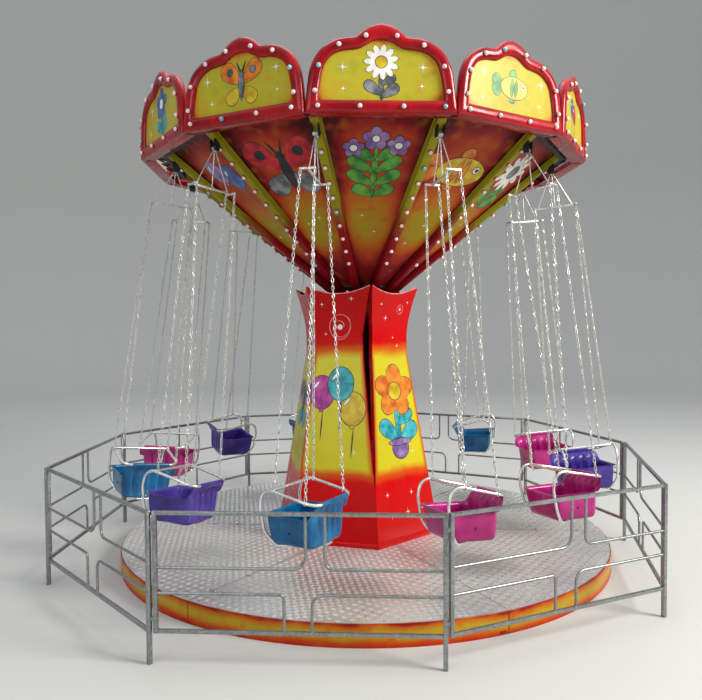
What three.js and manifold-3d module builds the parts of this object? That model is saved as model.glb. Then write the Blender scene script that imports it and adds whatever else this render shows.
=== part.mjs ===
// Chair swing ride for a fairground: twelve chain-hung seats under a turning canopy.
// Millimetres, +Z up. The origin is on the ground on the turning axis, and the front is -Y.
import * as THREE from "three";
import { mergeVertices } from "three/addons/utils/BufferGeometryUtils.js";
import Module from "manifold-3d";

const wasm = await Module();
wasm.setup();
const { Manifold, Mesh: SolidMesh } = wasm;

// The turning head, measured from the front (-Y) towards the right (+X).
const SEATS = 12;
const FIRST_ARM_DEG = 18.86;
const STEP_DEG = 360 / SEATS;
const FIT_GAP = 0.3;

// Deck
const DECK_RADIUS = 2340;
const DECK_TOP = 170;
const DECK_THICKNESS = 10;
const SKIRT_THICKNESS = 6;
const BEAM_WIDTH = 60;

// Tower: a hexagon that stands off the axis, tapers to a waist and flares again into scalloped tips
const TOWER_SIDES = 6;
const TOWER_PLACE_X = -80;
const TOWER_PLACE_Y = 80;
const TOWER_FIRST_CORNER_DEG = 14.2;
const TOWER_FOOT_RADIUS = 845;
const TOWER_WAIST_RADIUS = 528;
const TOWER_TIP_RADIUS = 643;
const TOWER_WAIST_LOW = 1930;
const TOWER_WAIST_HIGH = 2110;
const TOWER_TIP_HEIGHT = 2570;
const SCALLOP_DEPTH = 72;
const CLADDING = 10;
const LEDGE_HEIGHT = 50;
const LEDGE_REACH = 20;
const SEAM_START = 690;
const SEAM_WIDTH = 117;
const SEAM_WIDTH_AT_TIP = 26;
const SEAM_SHARE_LEFT = 0.57;

// Column and hub
const COLUMN_RADIUS = 110;
const SPINDLE_RADIUS = 56;
const HUB_BOTTOM = 2600;
const HUB_RADIUS = 470;
const HUB_TOP = 3300;

// Arms: the underside of an arm runs through (ARM_INNER, ARM_INNER_Z) at ARM_SLOPE
const ARM_SLOPE = 0.8;
const ARM_INNER = 430;
const ARM_INNER_Z = 2590;
const ARM_OUTER = 1900;
const ARM_WIDTH = 70;
const ARM_DEPTH = 70;
const SKIN_INNER = 505;
const SKIN_OUTER = 1862;
const SKIN_THICKNESS = 8;

// Crown: twelve upright boards on the rim
const RIM_RADIUS = 2085;
const RIM_HEIGHT = 3741;
const FRAME_RADIUS = 38;
const WEB_THICKNESS = 14;
const BOARD_PEAK = 587;
const BOARD_INNER_PEAK = 487;

// Hangers: a spreader under the pivot, four chains and a tube frame that carries the bucket
const PIVOT_RADIUS = 1806;
const PIVOT_HEIGHT = 3630;
const PIN_RADIUS = 9;
const SPREADER_DROP = 332;
const SPREADER_HALF = 185;
const CHAIN_RADIUS = 5;
const HOOK_DROP = 2617;
const HOOK_AHEAD = 138;
const RAIL_PITCH_DEG = 13.9;
const RAIL_HALF = 248.5;
const SEAT_TUBE = 11;
const BACK_TUBE_X = -215.5;
const CROSS_TUBE_X = -126;
const BUCKET_FLOOR = -359;
const FLOOR_RISE = 0.04;
const SHELL_WALL = 6;

// How each seat hung when seen: swung out, turned on its chains, tilted and drifted ahead
const SEAT_COLOURS = "pink pink purple pink cyan purple cyan purple pink cyan purple cyan".split(" ");
const LEAN_DEG = [6.5, 7, 6, 5, 6.5, 6.5, 6.5, 8, 5.5, 6.8, 5.5, 7.4];
const TURN_DEG = [2, -30, 17, -9, 25, 0, 20, -18, 4, 15, 22, -18];
const TILT_DEG = [-2, -2, -1, -1, -4, 0, 0, 0, -4, 0, 0, -7];
const DRIFT = [-40, 20, 0, 30, -60, 0, 0, 20, -140, 0, 60, -20];

// Fence: nine panels between posts set out by hand around the deck
const POST_AZIMUTHS = [-106.1, -67, -28.7, 11, 51.2, 91.8, 133, 173.2, 213.6];
const POST_RADII = [2805, 2935, 2925, 2695, 2880, 2640, 2810, 2785, 2785];
const RAIL_TUBE = 17;
const INFILL_TUBE = 11;
const RAIL_TOP = 985;
const RAIL_BOTTOM = 220;
const UPPER_BAR = 667;
const LOWER_BAR = 480;
const UPRIGHT_INSET = 44;

const paint = (color, roughness, metalness) =>
  new THREE.MeshStandardMaterial({ color, roughness, metalness });
const galvanised = paint("#a3a7a6", 0.45, 0.85);
const treadPlate = paint("#b9bab8", 0.4, 0.8);
const redPaint = paint("#d3120f", 0.35, 0);
const yellowPaint = paint("#b9a51f", 0.45, 0.1);
const orangePaint = paint("#c8701c", 0.4, 0);
const darkSteel = paint("#3a3a3c", 0.6, 0.6);
const seatColours = {
  cyan: paint("#1286b8", 0.35, 0),
  purple: paint("#4a2f9c", 0.35, 0),
  pink: paint("#c2187c", 0.35, 0),
};

const rad = THREE.MathUtils.degToRad;
const vec = (x, y, z) => new THREE.Vector3(x, y, z);
const polar = (azimuthDeg, radius, z) =>
  vec(radius * Math.sin(rad(azimuthDeg)), -radius * Math.cos(rad(azimuthDeg)), z);

function fromTriangles(triangles) {
  const flat = triangles.flatMap((p) => [p.x, p.y, p.z]);
  return new THREE.BufferGeometry().setAttribute(
    "position",
    new THREE.Float32BufferAttribute(flat, 3),
  );
}

// A closed body through rings of points that run anticlockwise about the way they follow.
// Strip caps suit long thin rings made of two facing rows, fan caps suit round ones.
function loft(rings, { strip = false } = {}) {
  const triangles = [];
  const count = rings[0].length;
  for (let i = 0; i < rings.length - 1; i += 1) {
    const low = rings[i];
    const high = rings[i + 1];
    for (let j = 0; j < count; j += 1) {
      const k = (j + 1) % count;
      triangles.push(low[j], low[k], high[k], low[j], high[k], high[j]);
    }
  }
  const capOf = (ring) => {
    const cap = [];
    if (strip) {
      for (let j = 0; j < count / 2 - 1; j += 1) {
        const m = count - 1 - j;
        cap.push([ring[j], ring[j + 1], ring[m - 1]], [ring[j], ring[m - 1], ring[m]]);
      }
    } else {
      for (let j = 1; j < count - 1; j += 1) {
        cap.push([ring[0], ring[j], ring[j + 1]]);
      }
    }
    return cap;
  };
  capOf(rings[0]).forEach(([a, b, c]) => triangles.push(a, c, b));
  capOf(rings[rings.length - 1]).forEach((t) => triangles.push(...t));
  return fromTriangles(triangles);
}

// The rings of a tube bent with mitred corners along a path.
function tubeRings(path, radius, sides, spin = 0) {
  const points = path.map((p) => vec(...p));
  const way = (i) => points[i + 1].clone().sub(points[i]).normalize();
  const start = way(0);
  const side = Math.abs(start.z) < 0.9 ? vec(0, 0, 1) : vec(1, 0, 0);
  side.addScaledVector(start, -side.dot(start)).normalize();
  const across = start.clone().cross(side);
  let ring = [];
  for (let j = 0; j < sides; j += 1) {
    const angle = rad(spin + (360 * j) / sides);
    ring.push(
      points[0]
        .clone()
        .addScaledVector(side, radius * Math.cos(angle))
        .addScaledVector(across, radius * Math.sin(angle)),
    );
  }
  const rings = [ring];
  for (let i = 1; i < points.length; i += 1) {
    const before = way(i - 1);
    const normal = i === points.length - 1 ? before : before.clone().add(way(i));
    ring = ring.map((p) => {
      const t = points[i].clone().sub(p).dot(normal) / before.dot(normal);
      return p.clone().addScaledVector(before, t);
    });
    rings.push(ring);
  }
  return rings;
}

const tube = (path, radius, sides, spin) => loft(tubeRings(path, radius, sides, spin));

function box(x0, x1, y0, y1, z0, z1) {
  const solid = new THREE.BoxGeometry(x1 - x0, y1 - y0, z1 - z0);
  return solid.translate((x0 + x1) / 2, (y0 + y1) / 2, (z0 + z1) / 2);
}

// A closed profile of (radius, height) pairs turned about the Z axis.
function turned(profile, segments, startDeg = 0) {
  const points = profile.map(([r, z]) => new THREE.Vector2(r, z));
  if (profile[0][0] > 0) {
    points.push(points[0].clone());
  }
  const lathe = new THREE.LatheGeometry(points, segments, rad(startDeg), 2 * Math.PI);
  return lathe.rotateX(Math.PI / 2);
}

function toSolid(geometry) {
  const bare = geometry.clone();
  bare.deleteAttribute("normal");
  bare.deleteAttribute("uv");
  const merged = mergeVertices(bare, 1e-3);
  const solid = new Manifold(
    new SolidMesh({
      numProp: 3,
      vertProperties: new Float32Array(merged.attributes.position.array),
      triVerts: new Uint32Array(merged.index.array),
    }),
  );
  if (solid.volume() < 0) {
    throw new Error("a piece faces inwards");
  }
  return solid;
}

function toGeometry(solid) {
  const mesh = solid.getMesh();
  const geometry = new THREE.BufferGeometry();
  geometry.setAttribute("position", new THREE.BufferAttribute(mesh.vertProperties.slice(), 3));
  geometry.setIndex(new THREE.BufferAttribute(mesh.triVerts.slice(), 1));
  return geometry;
}

const fuse = (pieces) =>
  toGeometry(pieces.map(toSolid).reduce((whole, piece) => whole.add(piece)));
const cut = (geometry, tools) =>
  toGeometry(tools.map(toSolid).reduce((rest, tool) => rest.subtract(tool), toSolid(geometry)));

const ride = new THREE.Group();
ride.name = "chair_swing_ride";

function addPiece(parent, name, geometry, material) {
  const flat = geometry.index ? geometry.toNonIndexed() : geometry.clone();
  flat.deleteAttribute("uv");
  flat.deleteAttribute("normal");
  flat.computeVertexNormals();
  const mesh = new THREE.Mesh(flat, material);
  mesh.name = name;
  parent.add(mesh);
  return mesh;
}

// Ground frame and deck
function groundFrame() {
  const underDeck = DECK_TOP - DECK_THICKNESS - FIT_GAP;
  const centre = turned(
    [
      [0, 0],
      [300, 0],
      [300, underDeck],
      [0, underDeck],
    ],
    24,
  );
  const beams = [];
  for (let k = 0; k < SEATS; k += 1) {
    const reach = DECK_RADIUS - SKIRT_THICKNESS - 14;
    const beam = box(-BEAM_WIDTH / 2, BEAM_WIDTH / 2, -reach, -200, 0, underDeck);
    beams.push(beam.rotateZ(rad(FIRST_ARM_DEG + k * STEP_DEG)));
  }
  return fuse([centre, ...beams]);
}

function deckPlate() {
  const edge = DECK_RADIUS - SKIRT_THICKNESS - 1;
  return turned(
    [
      [0, DECK_TOP - DECK_THICKNESS],
      [edge, DECK_TOP - DECK_THICKNESS],
      [edge, DECK_TOP],
      [0, DECK_TOP],
    ],
    60,
  );
}

function deckSkirt() {
  return turned(
    [
      [DECK_RADIUS - SKIRT_THICKNESS, 0],
      [DECK_RADIUS, 0],
      [DECK_RADIUS, DECK_TOP - 2],
      [DECK_RADIUS - SKIRT_THICKNESS, DECK_TOP - 2],
    ],
    60,
  );
}

// Tower
function towerRadius(z) {
  if (z <= TOWER_WAIST_LOW) {
    const t = (TOWER_WAIST_LOW - z) / (TOWER_WAIST_LOW - DECK_TOP);
    const ledge = z < DECK_TOP + LEDGE_HEIGHT ? LEDGE_REACH : 0;
    return TOWER_WAIST_RADIUS + (TOWER_FOOT_RADIUS - TOWER_WAIST_RADIUS) * t + ledge;
  }
  if (z <= TOWER_WAIST_HIGH) {
    return TOWER_WAIST_RADIUS;
  }
  const t = (z - TOWER_WAIST_HIGH) / (TOWER_TIP_HEIGHT - TOWER_WAIST_HIGH);
  return TOWER_WAIST_RADIUS + (TOWER_TIP_RADIUS - TOWER_WAIST_RADIUS) * t ** 1.5;
}

// The open seam is widest at the waist and closes towards the foot and the tip.
function seamWidth(z) {
  if (z < SEAM_START) {
    return 0;
  }
  if (z < TOWER_WAIST_HIGH) {
    return SEAM_WIDTH * ((z - SEAM_START) / (TOWER_WAIST_HIGH - SEAM_START)) ** 0.65;
  }
  const t = (z - TOWER_WAIST_HIGH) / (TOWER_TIP_HEIGHT - TOWER_WAIST_HIGH);
  return SEAM_WIDTH + (SEAM_WIDTH_AT_TIP - SEAM_WIDTH) * t;
}

function towerPanel(index, openRight, openLeft) {
  const columns = 4;
  const ledgeTop = DECK_TOP + LEDGE_HEIGHT;
  const foot = [DECK_TOP + FIT_GAP, ledgeTop - 8, ledgeTop];
  const heights = [...foot, SEAM_START, 850, 1200, TOWER_WAIST_LOW, TOWER_WAIST_HIGH, 2230, 2340, 2450];
  const from = TOWER_FIRST_CORNER_DEG + (index * 360) / TOWER_SIDES;
  const row = (z, top) => {
    const outer = [];
    const inner = [];
    for (let j = 0; j <= columns; j += 1) {
      const u = j / columns;
      const height = top ? z - SCALLOP_DEPTH * (1 - (2 * u - 1) ** 2) : z;
      const radius = towerRadius(height);
      const side = 2 * radius * Math.sin(Math.PI / TOWER_SIDES);
      const low = (openLeft ? (1 - SEAM_SHARE_LEFT) * seamWidth(height) : 0) / side + 0.0015;
      const high = 1 - (openRight ? SEAM_SHARE_LEFT * seamWidth(height) : 0) / side - 0.0015;
      const share = low + (high - low) * u;
      const corner = (r, k) => polar(from + (k * 360) / TOWER_SIDES, r, height);
      outer.push(corner(radius, 0).lerp(corner(radius, 1), share));
      inner.push(corner(radius - CLADDING, 0).lerp(corner(radius - CLADDING, 1), share));
    }
    return [...outer, ...inner.reverse()];
  };
  const rings = heights.map((z) => row(z, false));
  rings.push(row(TOWER_TIP_HEIGHT, true));
  return loft(rings, { strip: true });
}

function towerColumn() {
  return turned(
    [
      [0, DECK_TOP + FIT_GAP],
      [220, DECK_TOP + FIT_GAP],
      [220, DECK_TOP + 20],
      [COLUMN_RADIUS, DECK_TOP + 20],
      [COLUMN_RADIUS, HUB_BOTTOM - FIT_GAP],
      [SPINDLE_RADIUS, HUB_BOTTOM - FIT_GAP],
      [SPINDLE_RADIUS, HUB_TOP - 20],
      [0, HUB_TOP - 20],
    ],
    24,
  );
}

// Turning head
const armBottom = (r) => ARM_INNER_Z + ARM_SLOPE * (r - ARM_INNER);

function armPieces() {
  const half = ARM_WIDTH / 2;
  const section = (r) => {
    const z = armBottom(r);
    return [
      vec(-half, -r, z),
      vec(-half, -r, z + ARM_DEPTH),
      vec(half, -r, z + ARM_DEPTH),
      vec(half, -r, z),
    ];
  };
  const beam = loft([section(ARM_OUTER), section(ARM_INNER)]);
  const cheek = (x) =>
    box(x - 4, x + 4, -PIVOT_RADIUS - 26, -PIVOT_RADIUS + 26, PIVOT_HEIGHT - 24, armBottom(PIVOT_RADIUS) + 40);
  const pin = tube(
    [
      [-32, -PIVOT_RADIUS, PIVOT_HEIGHT],
      [32, -PIVOT_RADIUS, PIVOT_HEIGHT],
    ],
    PIN_RADIUS,
    8,
  );
  const turn = Math.PI / SEATS;
  const inside = RIM_RADIUS * Math.cos(turn) - FRAME_RADIUS - FIT_GAP;
  const stubEnd = (inside - 20 * Math.sin(turn)) / Math.cos(turn);
  const stub = box(-20, 20, -stubEnd, -ARM_OUTER + 30, RIM_HEIGHT + 4, RIM_HEIGHT + 37);
  return [beam, cheek(-28), cheek(28), pin, stub];
}

function armFrame() {
  const hub = turned(
    [
      [SPINDLE_RADIUS + 2, HUB_BOTTOM],
      [HUB_RADIUS, HUB_BOTTOM],
      [HUB_RADIUS, HUB_BOTTOM + 40],
      [160, HUB_BOTTOM + 40],
      [160, HUB_TOP],
      [SPINDLE_RADIUS + 2, HUB_TOP],
    ],
    24,
    FIRST_ARM_DEG,
  );
  const ring = turned(
    [
      [ARM_OUTER - 22, RIM_HEIGHT],
      [ARM_OUTER + 22, RIM_HEIGHT],
      [ARM_OUTER + 22, RIM_HEIGHT + 60],
      [ARM_OUTER - 22, RIM_HEIGHT + 60],
    ],
    SEATS,
    FIRST_ARM_DEG,
  );
  const pieces = [hub, ring];
  for (let k = 0; k < SEATS; k += 1) {
    armPieces().forEach((piece) => pieces.push(piece.rotateZ(rad(FIRST_ARM_DEG + k * STEP_DEG))));
  }
  return fuse(pieces);
}

function undersideSkin() {
  const low = (r) => armBottom(r) + ARM_DEPTH + FIT_GAP;
  return turned(
    [
      [SKIN_INNER, low(SKIN_INNER)],
      [SKIN_OUTER, low(SKIN_OUTER)],
      [SKIN_OUTER, low(SKIN_OUTER) + SKIN_THICKNESS],
      [SKIN_INNER, low(SKIN_INNER) + SKIN_THICKNESS],
    ],
    SEATS,
    FIRST_ARM_DEG,
  );
}

// Half outlines of a crown board as (sideways, height above the rim tube) pairs.
const BOARD_OUTER = [
  [543, -45],
  [535, 60],
  [507, 264],
  [471, 348],
  [425, 407],
  [345, 460],
  [277, 482],
  [195, 491],
  [138, 522],
  [78, 567],
];
const BOARD_INNER = [
  [444, 48],
  [422, 215],
  [397, 300],
  [347, 358],
  [276, 390],
  [185, 400],
  [107, 432],
  [50, 465],
];

function boardShape(half, peak) {
  const right = half.map(([u, h]) => new THREE.Vector2(u, h));
  const left = half.map(([u, h]) => new THREE.Vector2(-u, h)).reverse();
  return new THREE.Shape([...right, new THREE.Vector2(0, peak), ...left]);
}

function crownBoards() {
  const apothem = RIM_RADIUS * Math.cos(Math.PI / SEATS);
  const slab = (shape, from, to) => {
    const depth = to - from;
    const plate = new THREE.ExtrudeGeometry(shape, { depth, bevelEnabled: false });
    return plate.rotateX(Math.PI / 2).translate(0, -from, RIM_HEIGHT);
  };
  const outer = boardShape(BOARD_OUTER, BOARD_PEAK);
  const inner = boardShape(BOARD_INNER, BOARD_INNER_PEAK);
  const near = apothem - FRAME_RADIUS;
  const far = apothem + FRAME_RADIUS;
  const boards = [];
  for (let k = 0; k < SEATS; k += 1) {
    const board = cut(slab(outer, near, far), [
      slab(inner, apothem + WEB_THICKNESS / 2, far + 5),
      slab(inner, near - 5, apothem - WEB_THICKNESS / 2),
    ]);
    boards.push(board.rotateZ(rad(FIRST_ARM_DEG + (k + 0.5) * STEP_DEG)));
  }
  return fuse(boards);
}

// Hangers and seats. A seat is drawn about the middle of its four hooks, facing +X.
const railHeight = (x) => x * Math.tan(rad(RAIL_PITCH_DEG));
const floorHeight = (x) => BUCKET_FLOOR + FLOOR_RISE * x;

function seatPose(k) {
  const turn = new THREE.Euler(rad(TILT_DEG[k]), 0, rad(TURN_DEG[k]), "ZYX");
  return new THREE.Matrix4().makeRotationFromEuler(turn).setPosition(DRIFT[k], 0, -HOOK_DROP);
}

// The tube frame: back tube, rails, legs and runners under the bucket, alike on both sides.
function seatFrame() {
  const runner = (x) => floorHeight(x) - SEAT_TUBE - 0.4;
  const path = [
    [BACK_TUBE_X, 0, railHeight(BACK_TUBE_X)],
    [BACK_TUBE_X, 160, railHeight(BACK_TUBE_X)],
    [-187, 221, railHeight(-187)],
    [-125, RAIL_HALF, railHeight(-125)],
    [175, RAIL_HALF, railHeight(175)],
    [214, 247, 42],
    [232, 246, 8],
    [245, 243, -60],
    [244, 240, -140],
    [226, 236, -250],
    [201, 226, -322],
    [168, 196, runner(168) + 6],
    [140, 174, runner(140)],
    [CROSS_TUBE_X, 150, runner(CROSS_TUBE_X)],
  ];
  const half = tubeRings(path, SEAT_TUBE, 6, 30 - RAIL_PITCH_DEG);
  const mirrored = half.slice(1).reverse().map((ring) => ring.map((p) => vec(p.x, -p.y, p.z)));
  return loft([...mirrored, ...half]);
}

function spreader() {
  const sleeve = tube(
    [
      [-20, 0, 0],
      [20, 0, 0],
    ],
    17,
    8,
  );
  const bore = tube(
    [
      [-30, 0, 0],
      [30, 0, 0],
    ],
    PIN_RADIUS + 1.2,
    8,
  );
  const bar = -SPREADER_DROP;
  const reach = SPREADER_HALF + 12;
  const pieces = [cut(sleeve, [bore]), box(-13, 13, -reach, reach, bar - 13, bar + 13)];
  for (const side of [-1, 1]) {
    const y = side * SPREADER_HALF;
    pieces.push(box(-66, 66, y - 12, y + 12, bar - 13, bar + 13));
  }
  for (const y of [-150, 0, 150]) {
    pieces.push(
      tube(
        [
          [0, Math.sign(y) * 8, -13],
          [0, y, bar + 4],
        ],
        CHAIN_RADIUS,
        4,
      ),
    );
  }
  return pieces;
}

function hanger(k) {
  const pose = seatPose(k);
  const pieces = spreader();
  for (const side of [-1, 1]) {
    for (const end of [-1, 1]) {
      const ahead = end * HOOK_AHEAD;
      const hook = vec(ahead, side * RAIL_HALF, railHeight(ahead)).applyMatrix4(pose);
      const top = [end * 55, side * SPREADER_HALF, -SPREADER_DROP - 5];
      pieces.push(tube([top, hook.toArray()], CHAIN_RADIUS, 4));
    }
  }
  const cross = (x, y, z, spin) =>
    tube(
      [
        [x, -y, z],
        [x, y, z],
      ],
      SEAT_TUBE,
      6,
      spin,
    );
  const frontBar = cross(HOOK_AHEAD, RAIL_HALF, railHeight(HOOK_AHEAD), 30 - RAIL_PITCH_DEG);
  const crossTube = cross(CROSS_TUBE_X, 156, floorHeight(CROSS_TUBE_X) - SEAT_TUBE + 0.6, 30);
  pieces.push(...[seatFrame(), frontBar, crossTube].map((part) => part.applyMatrix4(pose)));
  return fuse(pieces);
}

// The bucket: a low front and sides, and a back that rises to the back tube.
// Each ring is (front, back, half width, corner radius) with heights along it.
function seatShell() {
  const backTop = railHeight(BACK_TUBE_X) - SEAT_TUBE;
  const sideTop = (x) => -149 + 0.035 * x;
  const ring = (front, back, half, bend, heightAt, backHeight) => {
    const points = [];
    const corner = (cx, cy, from, step, count) => {
      for (let j = 0; j < count; j += 1) {
        const angle = rad(from + step * j);
        const x = cx + bend * Math.cos(angle);
        const away = Math.max(0, -Math.cos(angle));
        const z = heightAt(x) + (backHeight - heightAt(x)) * away ** 2;
        points.push(vec(x, cy + bend * Math.sin(angle), z));
      }
    };
    corner(front - bend, half - bend, 0, 45, 3);
    corner(back + bend, half - bend, 90, 30, 4);
    corner(back + bend, bend - half, 180, 30, 4);
    corner(front - bend, bend - half, 270, 45, 3);
    return points;
  };
  const above = (lift) => (x) => floorHeight(x) + lift;
  const base = floorHeight(-120);
  const w = SHELL_WALL;
  return loft([
    ring(176, -110, 172, 40, above(0), base),
    ring(200, -134, 200, 60, above(26), base + 26),
    ring(203, -160, 219, 64, above(108), -241),
    ring(204, -166, 238, 68, (x) => sideTop(x) - 16, -133),
    ring(208, -214, 244, 74, sideTop, backTop),
    ring(208 - w, -214 + w, 244 - w, 74 - w, sideTop, backTop),
    ring(204 - w, -166 + w, 238 - w, 68 - w, (x) => sideTop(x) - 18, -133),
    ring(200 - w, -134 + w, 200 - w, 60 - w, above(28 + w), base + 28 + w),
    ring(176 - w, -110 + w, 172 - w, 40 - w, above(w), base + w),
  ]);
}

// Fence
function fencePanel(length, turnDeg) {
  const right = length;
  const left = UPRIGHT_INSET;
  const sides = 6;
  const frame = tube(
    [
      [right, 0, 0],
      [right, 0, RAIL_TOP - 30],
      [right - 30, 0, RAIL_TOP],
      [left + 30, 0, RAIL_TOP],
      [left, 0, RAIL_TOP - 30],
      [left, 0, RAIL_BOTTOM - 10],
    ],
    RAIL_TUBE,
    sides,
    turnDeg - 180 / sides,
  );
  const rail = tube(
    [
      [left, 0, RAIL_BOTTOM],
      [right, 0, RAIL_BOTTOM],
    ],
    RAIL_TUBE - 2,
    5,
  );
  const bent = (x0, z0, x1, z1, bend) =>
    tube(
      [
        [x0, 0, z0],
        [x1 - Math.sign(x1 - x0) * bend, 0, z0],
        [x1, 0, z0 + Math.sign(z1 - z0) * bend],
        [x1, 0, z1],
      ],
      INFILL_TUBE,
      5,
    );
  const reach = RAIL_TUBE * Math.cos(Math.PI / sides) + FIT_GAP;
  const hook = (z) => box(reach, left, -9, 9, z - 14, z + 14);
  return fuse([
    frame,
    rail,
    bent(left, UPPER_BAR, 0.535 * length, RAIL_TOP, 50),
    bent(right, UPPER_BAR, 0.6 * length, RAIL_TOP, 50),
    bent(left, LOWER_BAR, 0.461 * length, RAIL_BOTTOM, 50),
    bent(right, LOWER_BAR, 0.556 * length, RAIL_BOTTOM, 50),
    hook(300),
    hook(900),
  ]);
}

addPiece(ride, "base_frame", groundFrame(), darkSteel);
addPiece(ride, "deck_plate", deckPlate(), treadPlate);
addPiece(ride, "deck_skirt", deckSkirt(), orangePaint);
addPiece(ride, "tower_column", towerColumn(), darkSteel);
for (let k = 0; k < TOWER_SIDES; k += 1) {
  const panel = towerPanel(k, k === TOWER_SIDES - 1, k === 0);
  addPiece(ride, `tower_panel_${k + 1}`, panel, redPaint).position.set(TOWER_PLACE_X, TOWER_PLACE_Y, 0);
}

addPiece(ride, "arm_frame", armFrame(), yellowPaint);
addPiece(ride, "underside_skin", undersideSkin(), orangePaint);
addPiece(ride, "crown_boards", crownBoards(), redPaint);

const shellShape = seatShell();
SEAT_COLOURS.forEach((colour, k) => {
  const azimuth = FIRST_ARM_DEG + k * STEP_DEG;
  const place = new THREE.Group();
  place.position.copy(polar(azimuth, PIVOT_RADIUS, PIVOT_HEIGHT));
  place.rotation.z = rad(azimuth + 180);
  const swing = new THREE.Group();
  swing.rotation.x = rad(LEAN_DEG[k]);
  place.add(swing);
  ride.add(place);
  const number = String(k + 1).padStart(2, "0");
  addPiece(swing, `seat_${number}_hanger`, hanger(k), galvanised);
  const shell = shellShape.clone().applyMatrix4(seatPose(k));
  addPiece(swing, `seat_${number}_shell`, shell, seatColours[colour]);
});

const posts = POST_AZIMUTHS.map((azimuth, k) => polar(azimuth, POST_RADII[k], 0));
const spanOf = (k) => {
  const n = posts.length;
  return posts[(k + 1) % n].clone().sub(posts[k % n]);
};
const headingOf = (k) => THREE.MathUtils.radToDeg(Math.atan2(spanOf(k).y, spanOf(k).x));
posts.forEach((post, k) => {
  const turn = headingOf(k + 1) - headingOf(k);
  const panel = addPiece(ride, `fence_panel_${k + 1}`, fencePanel(spanOf(k).length(), turn), galvanised);
  panel.position.copy(post);
  panel.rotation.z = rad(headingOf(k));
});

export default ride;
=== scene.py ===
# Chair swing ride: twelve bucket seats on chains under a turning crown, on a round deck
# in a low tube fence. Metres, +Z up, the front faces -Y.
import math
import random

import bmesh
import bpy
from mathutils import Matrix, Vector


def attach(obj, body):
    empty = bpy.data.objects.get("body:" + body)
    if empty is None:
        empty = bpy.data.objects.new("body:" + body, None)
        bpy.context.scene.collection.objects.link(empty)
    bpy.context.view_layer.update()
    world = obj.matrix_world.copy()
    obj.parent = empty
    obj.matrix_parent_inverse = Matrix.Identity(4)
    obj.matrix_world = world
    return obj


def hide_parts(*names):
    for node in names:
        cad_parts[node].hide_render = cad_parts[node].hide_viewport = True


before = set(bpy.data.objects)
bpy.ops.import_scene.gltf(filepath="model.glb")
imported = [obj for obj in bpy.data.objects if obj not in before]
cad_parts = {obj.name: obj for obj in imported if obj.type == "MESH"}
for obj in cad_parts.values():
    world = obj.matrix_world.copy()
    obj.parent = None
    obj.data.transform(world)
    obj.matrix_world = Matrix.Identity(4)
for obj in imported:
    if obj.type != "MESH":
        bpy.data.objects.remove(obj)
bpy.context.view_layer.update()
draw = random.Random(12)

# Sizes. Most are as in the solids; CONE_TIP, POST_TUBE, RAIL_TUBE and RAIL_TOP are the finished part's own
SEATS = 12
FIRST_ARM = 18.86
STEP = 360 / SEATS
DECK_RADIUS = 2.34
DECK_TOP = 0.17
SKIRT_TOP = 0.168
DECK_SEAM = 26
DECK_SEAM_STEP = 60
TOWER_SIDES = 6
TOWER_PLACE = (-0.08, 0.08, 0)
TOWER_FIRST_CORNER = 14.2
TOWER_FOOT = 0.845
TOWER_WAIST = 0.528
TOWER_TIP = 0.643
WAIST_LOW = 1.93
WAIST_HIGH = 2.11
TIP_HEIGHT = 2.57
SCALLOP = 0.072
CLADDING = 0.01
LEDGE_HEIGHT = 0.05
LEDGE_REACH = 0.02
SEAM_START = 0.69
SEAM_WIDTH = 0.117
SEAM_AT_TIP = 0.026
SEAM_SHARE_LEFT = 0.57
HUB_TOP = 3.3
ARM_SLOPE = 0.8
ARM_INNER = 0.43
ARM_INNER_Z = 2.59
ARM_OUTER = 1.9
ARM_WIDTH = 0.07
ARM_DEPTH = 0.07
CONE_TIP = 0.31
SKIN_INNER = 0.505
SKIN_OUTER = 1.862
SKIN_RISE = 0.0703
RIM_RADIUS = 2.085
RIM_HEIGHT = 3.741
FRAME_RADIUS = 0.038
BOARD_THICKNESS = 0.014
PIVOT_RADIUS = 1.806
PIVOT_HEIGHT = 3.63
SPREADER_DROP = 0.332
SPREADER_HALF = 0.185
HOOK_DROP = 2.617
HOOK_AHEAD = 0.138
RAIL_PITCH = math.radians(13.9)
RAIL_HALF = 0.2485
SEAT_TUBE = 0.011
BACK_TUBE_X = -0.2155
CROSS_TUBE_X = -0.126
BUCKET_FLOOR = -0.359
FLOOR_RISE = 0.04
SEAT_COLOURS = "pink pink purple pink cyan purple cyan purple pink cyan purple cyan".split()
LEAN = [6.5, 7, 6, 5, 6.5, 6.5, 6.5, 8, 5.5, 6.8, 5.5, 7.4]
TURN = [2, -30, 17, -9, 25, 0, 20, -18, 4, 15, 22, -18]
TILT = [-2, -2, -1, -1, -4, 0, 0, 0, -4, 0, 0, -7]
DRIFT = [-0.04, 0.02, 0, 0.03, -0.06, 0, 0, 0.02, -0.14, 0, 0.06, -0.02]
POST_AZIMUTHS = [-106.1, -67, -28.7, 11, 51.2, 91.8, 133, 173.2, 213.6]
POST_RADII = [2.805, 2.935, 2.925, 2.695, 2.88, 2.64, 2.81, 2.785, 2.785]
POST_TUBE = 0.03
RAIL_TUBE = 0.025
RAIL_TOP = 0.9955
RAIL_BOTTOM = 0.22
UPPER_BAR = 0.667
LOWER_BAR = 0.48
UPRIGHT_INSET = 0.044
# Where the fence's infill tubes turn towards the rails, as shares of a panel's length
UPPER_TURNS = (0.535, 0.6)
LOWER_TURNS = (0.461, 0.556)


def polar(azimuth, radius, height):
    """A point at an azimuth from the front, counted towards the right."""
    a = math.radians(azimuth)
    return Vector((radius * math.sin(a), -radius * math.cos(a), height))


def facing(azimuth):
    """Turns what is drawn at the front round to an azimuth."""
    return Matrix.Rotation(math.radians(azimuth), 4, "Z")


def at_arm(number):
    """Turns what is drawn at the front round to an arm, or by a half number to a board."""
    return facing(FIRST_ARM + STEP * number)


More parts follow.
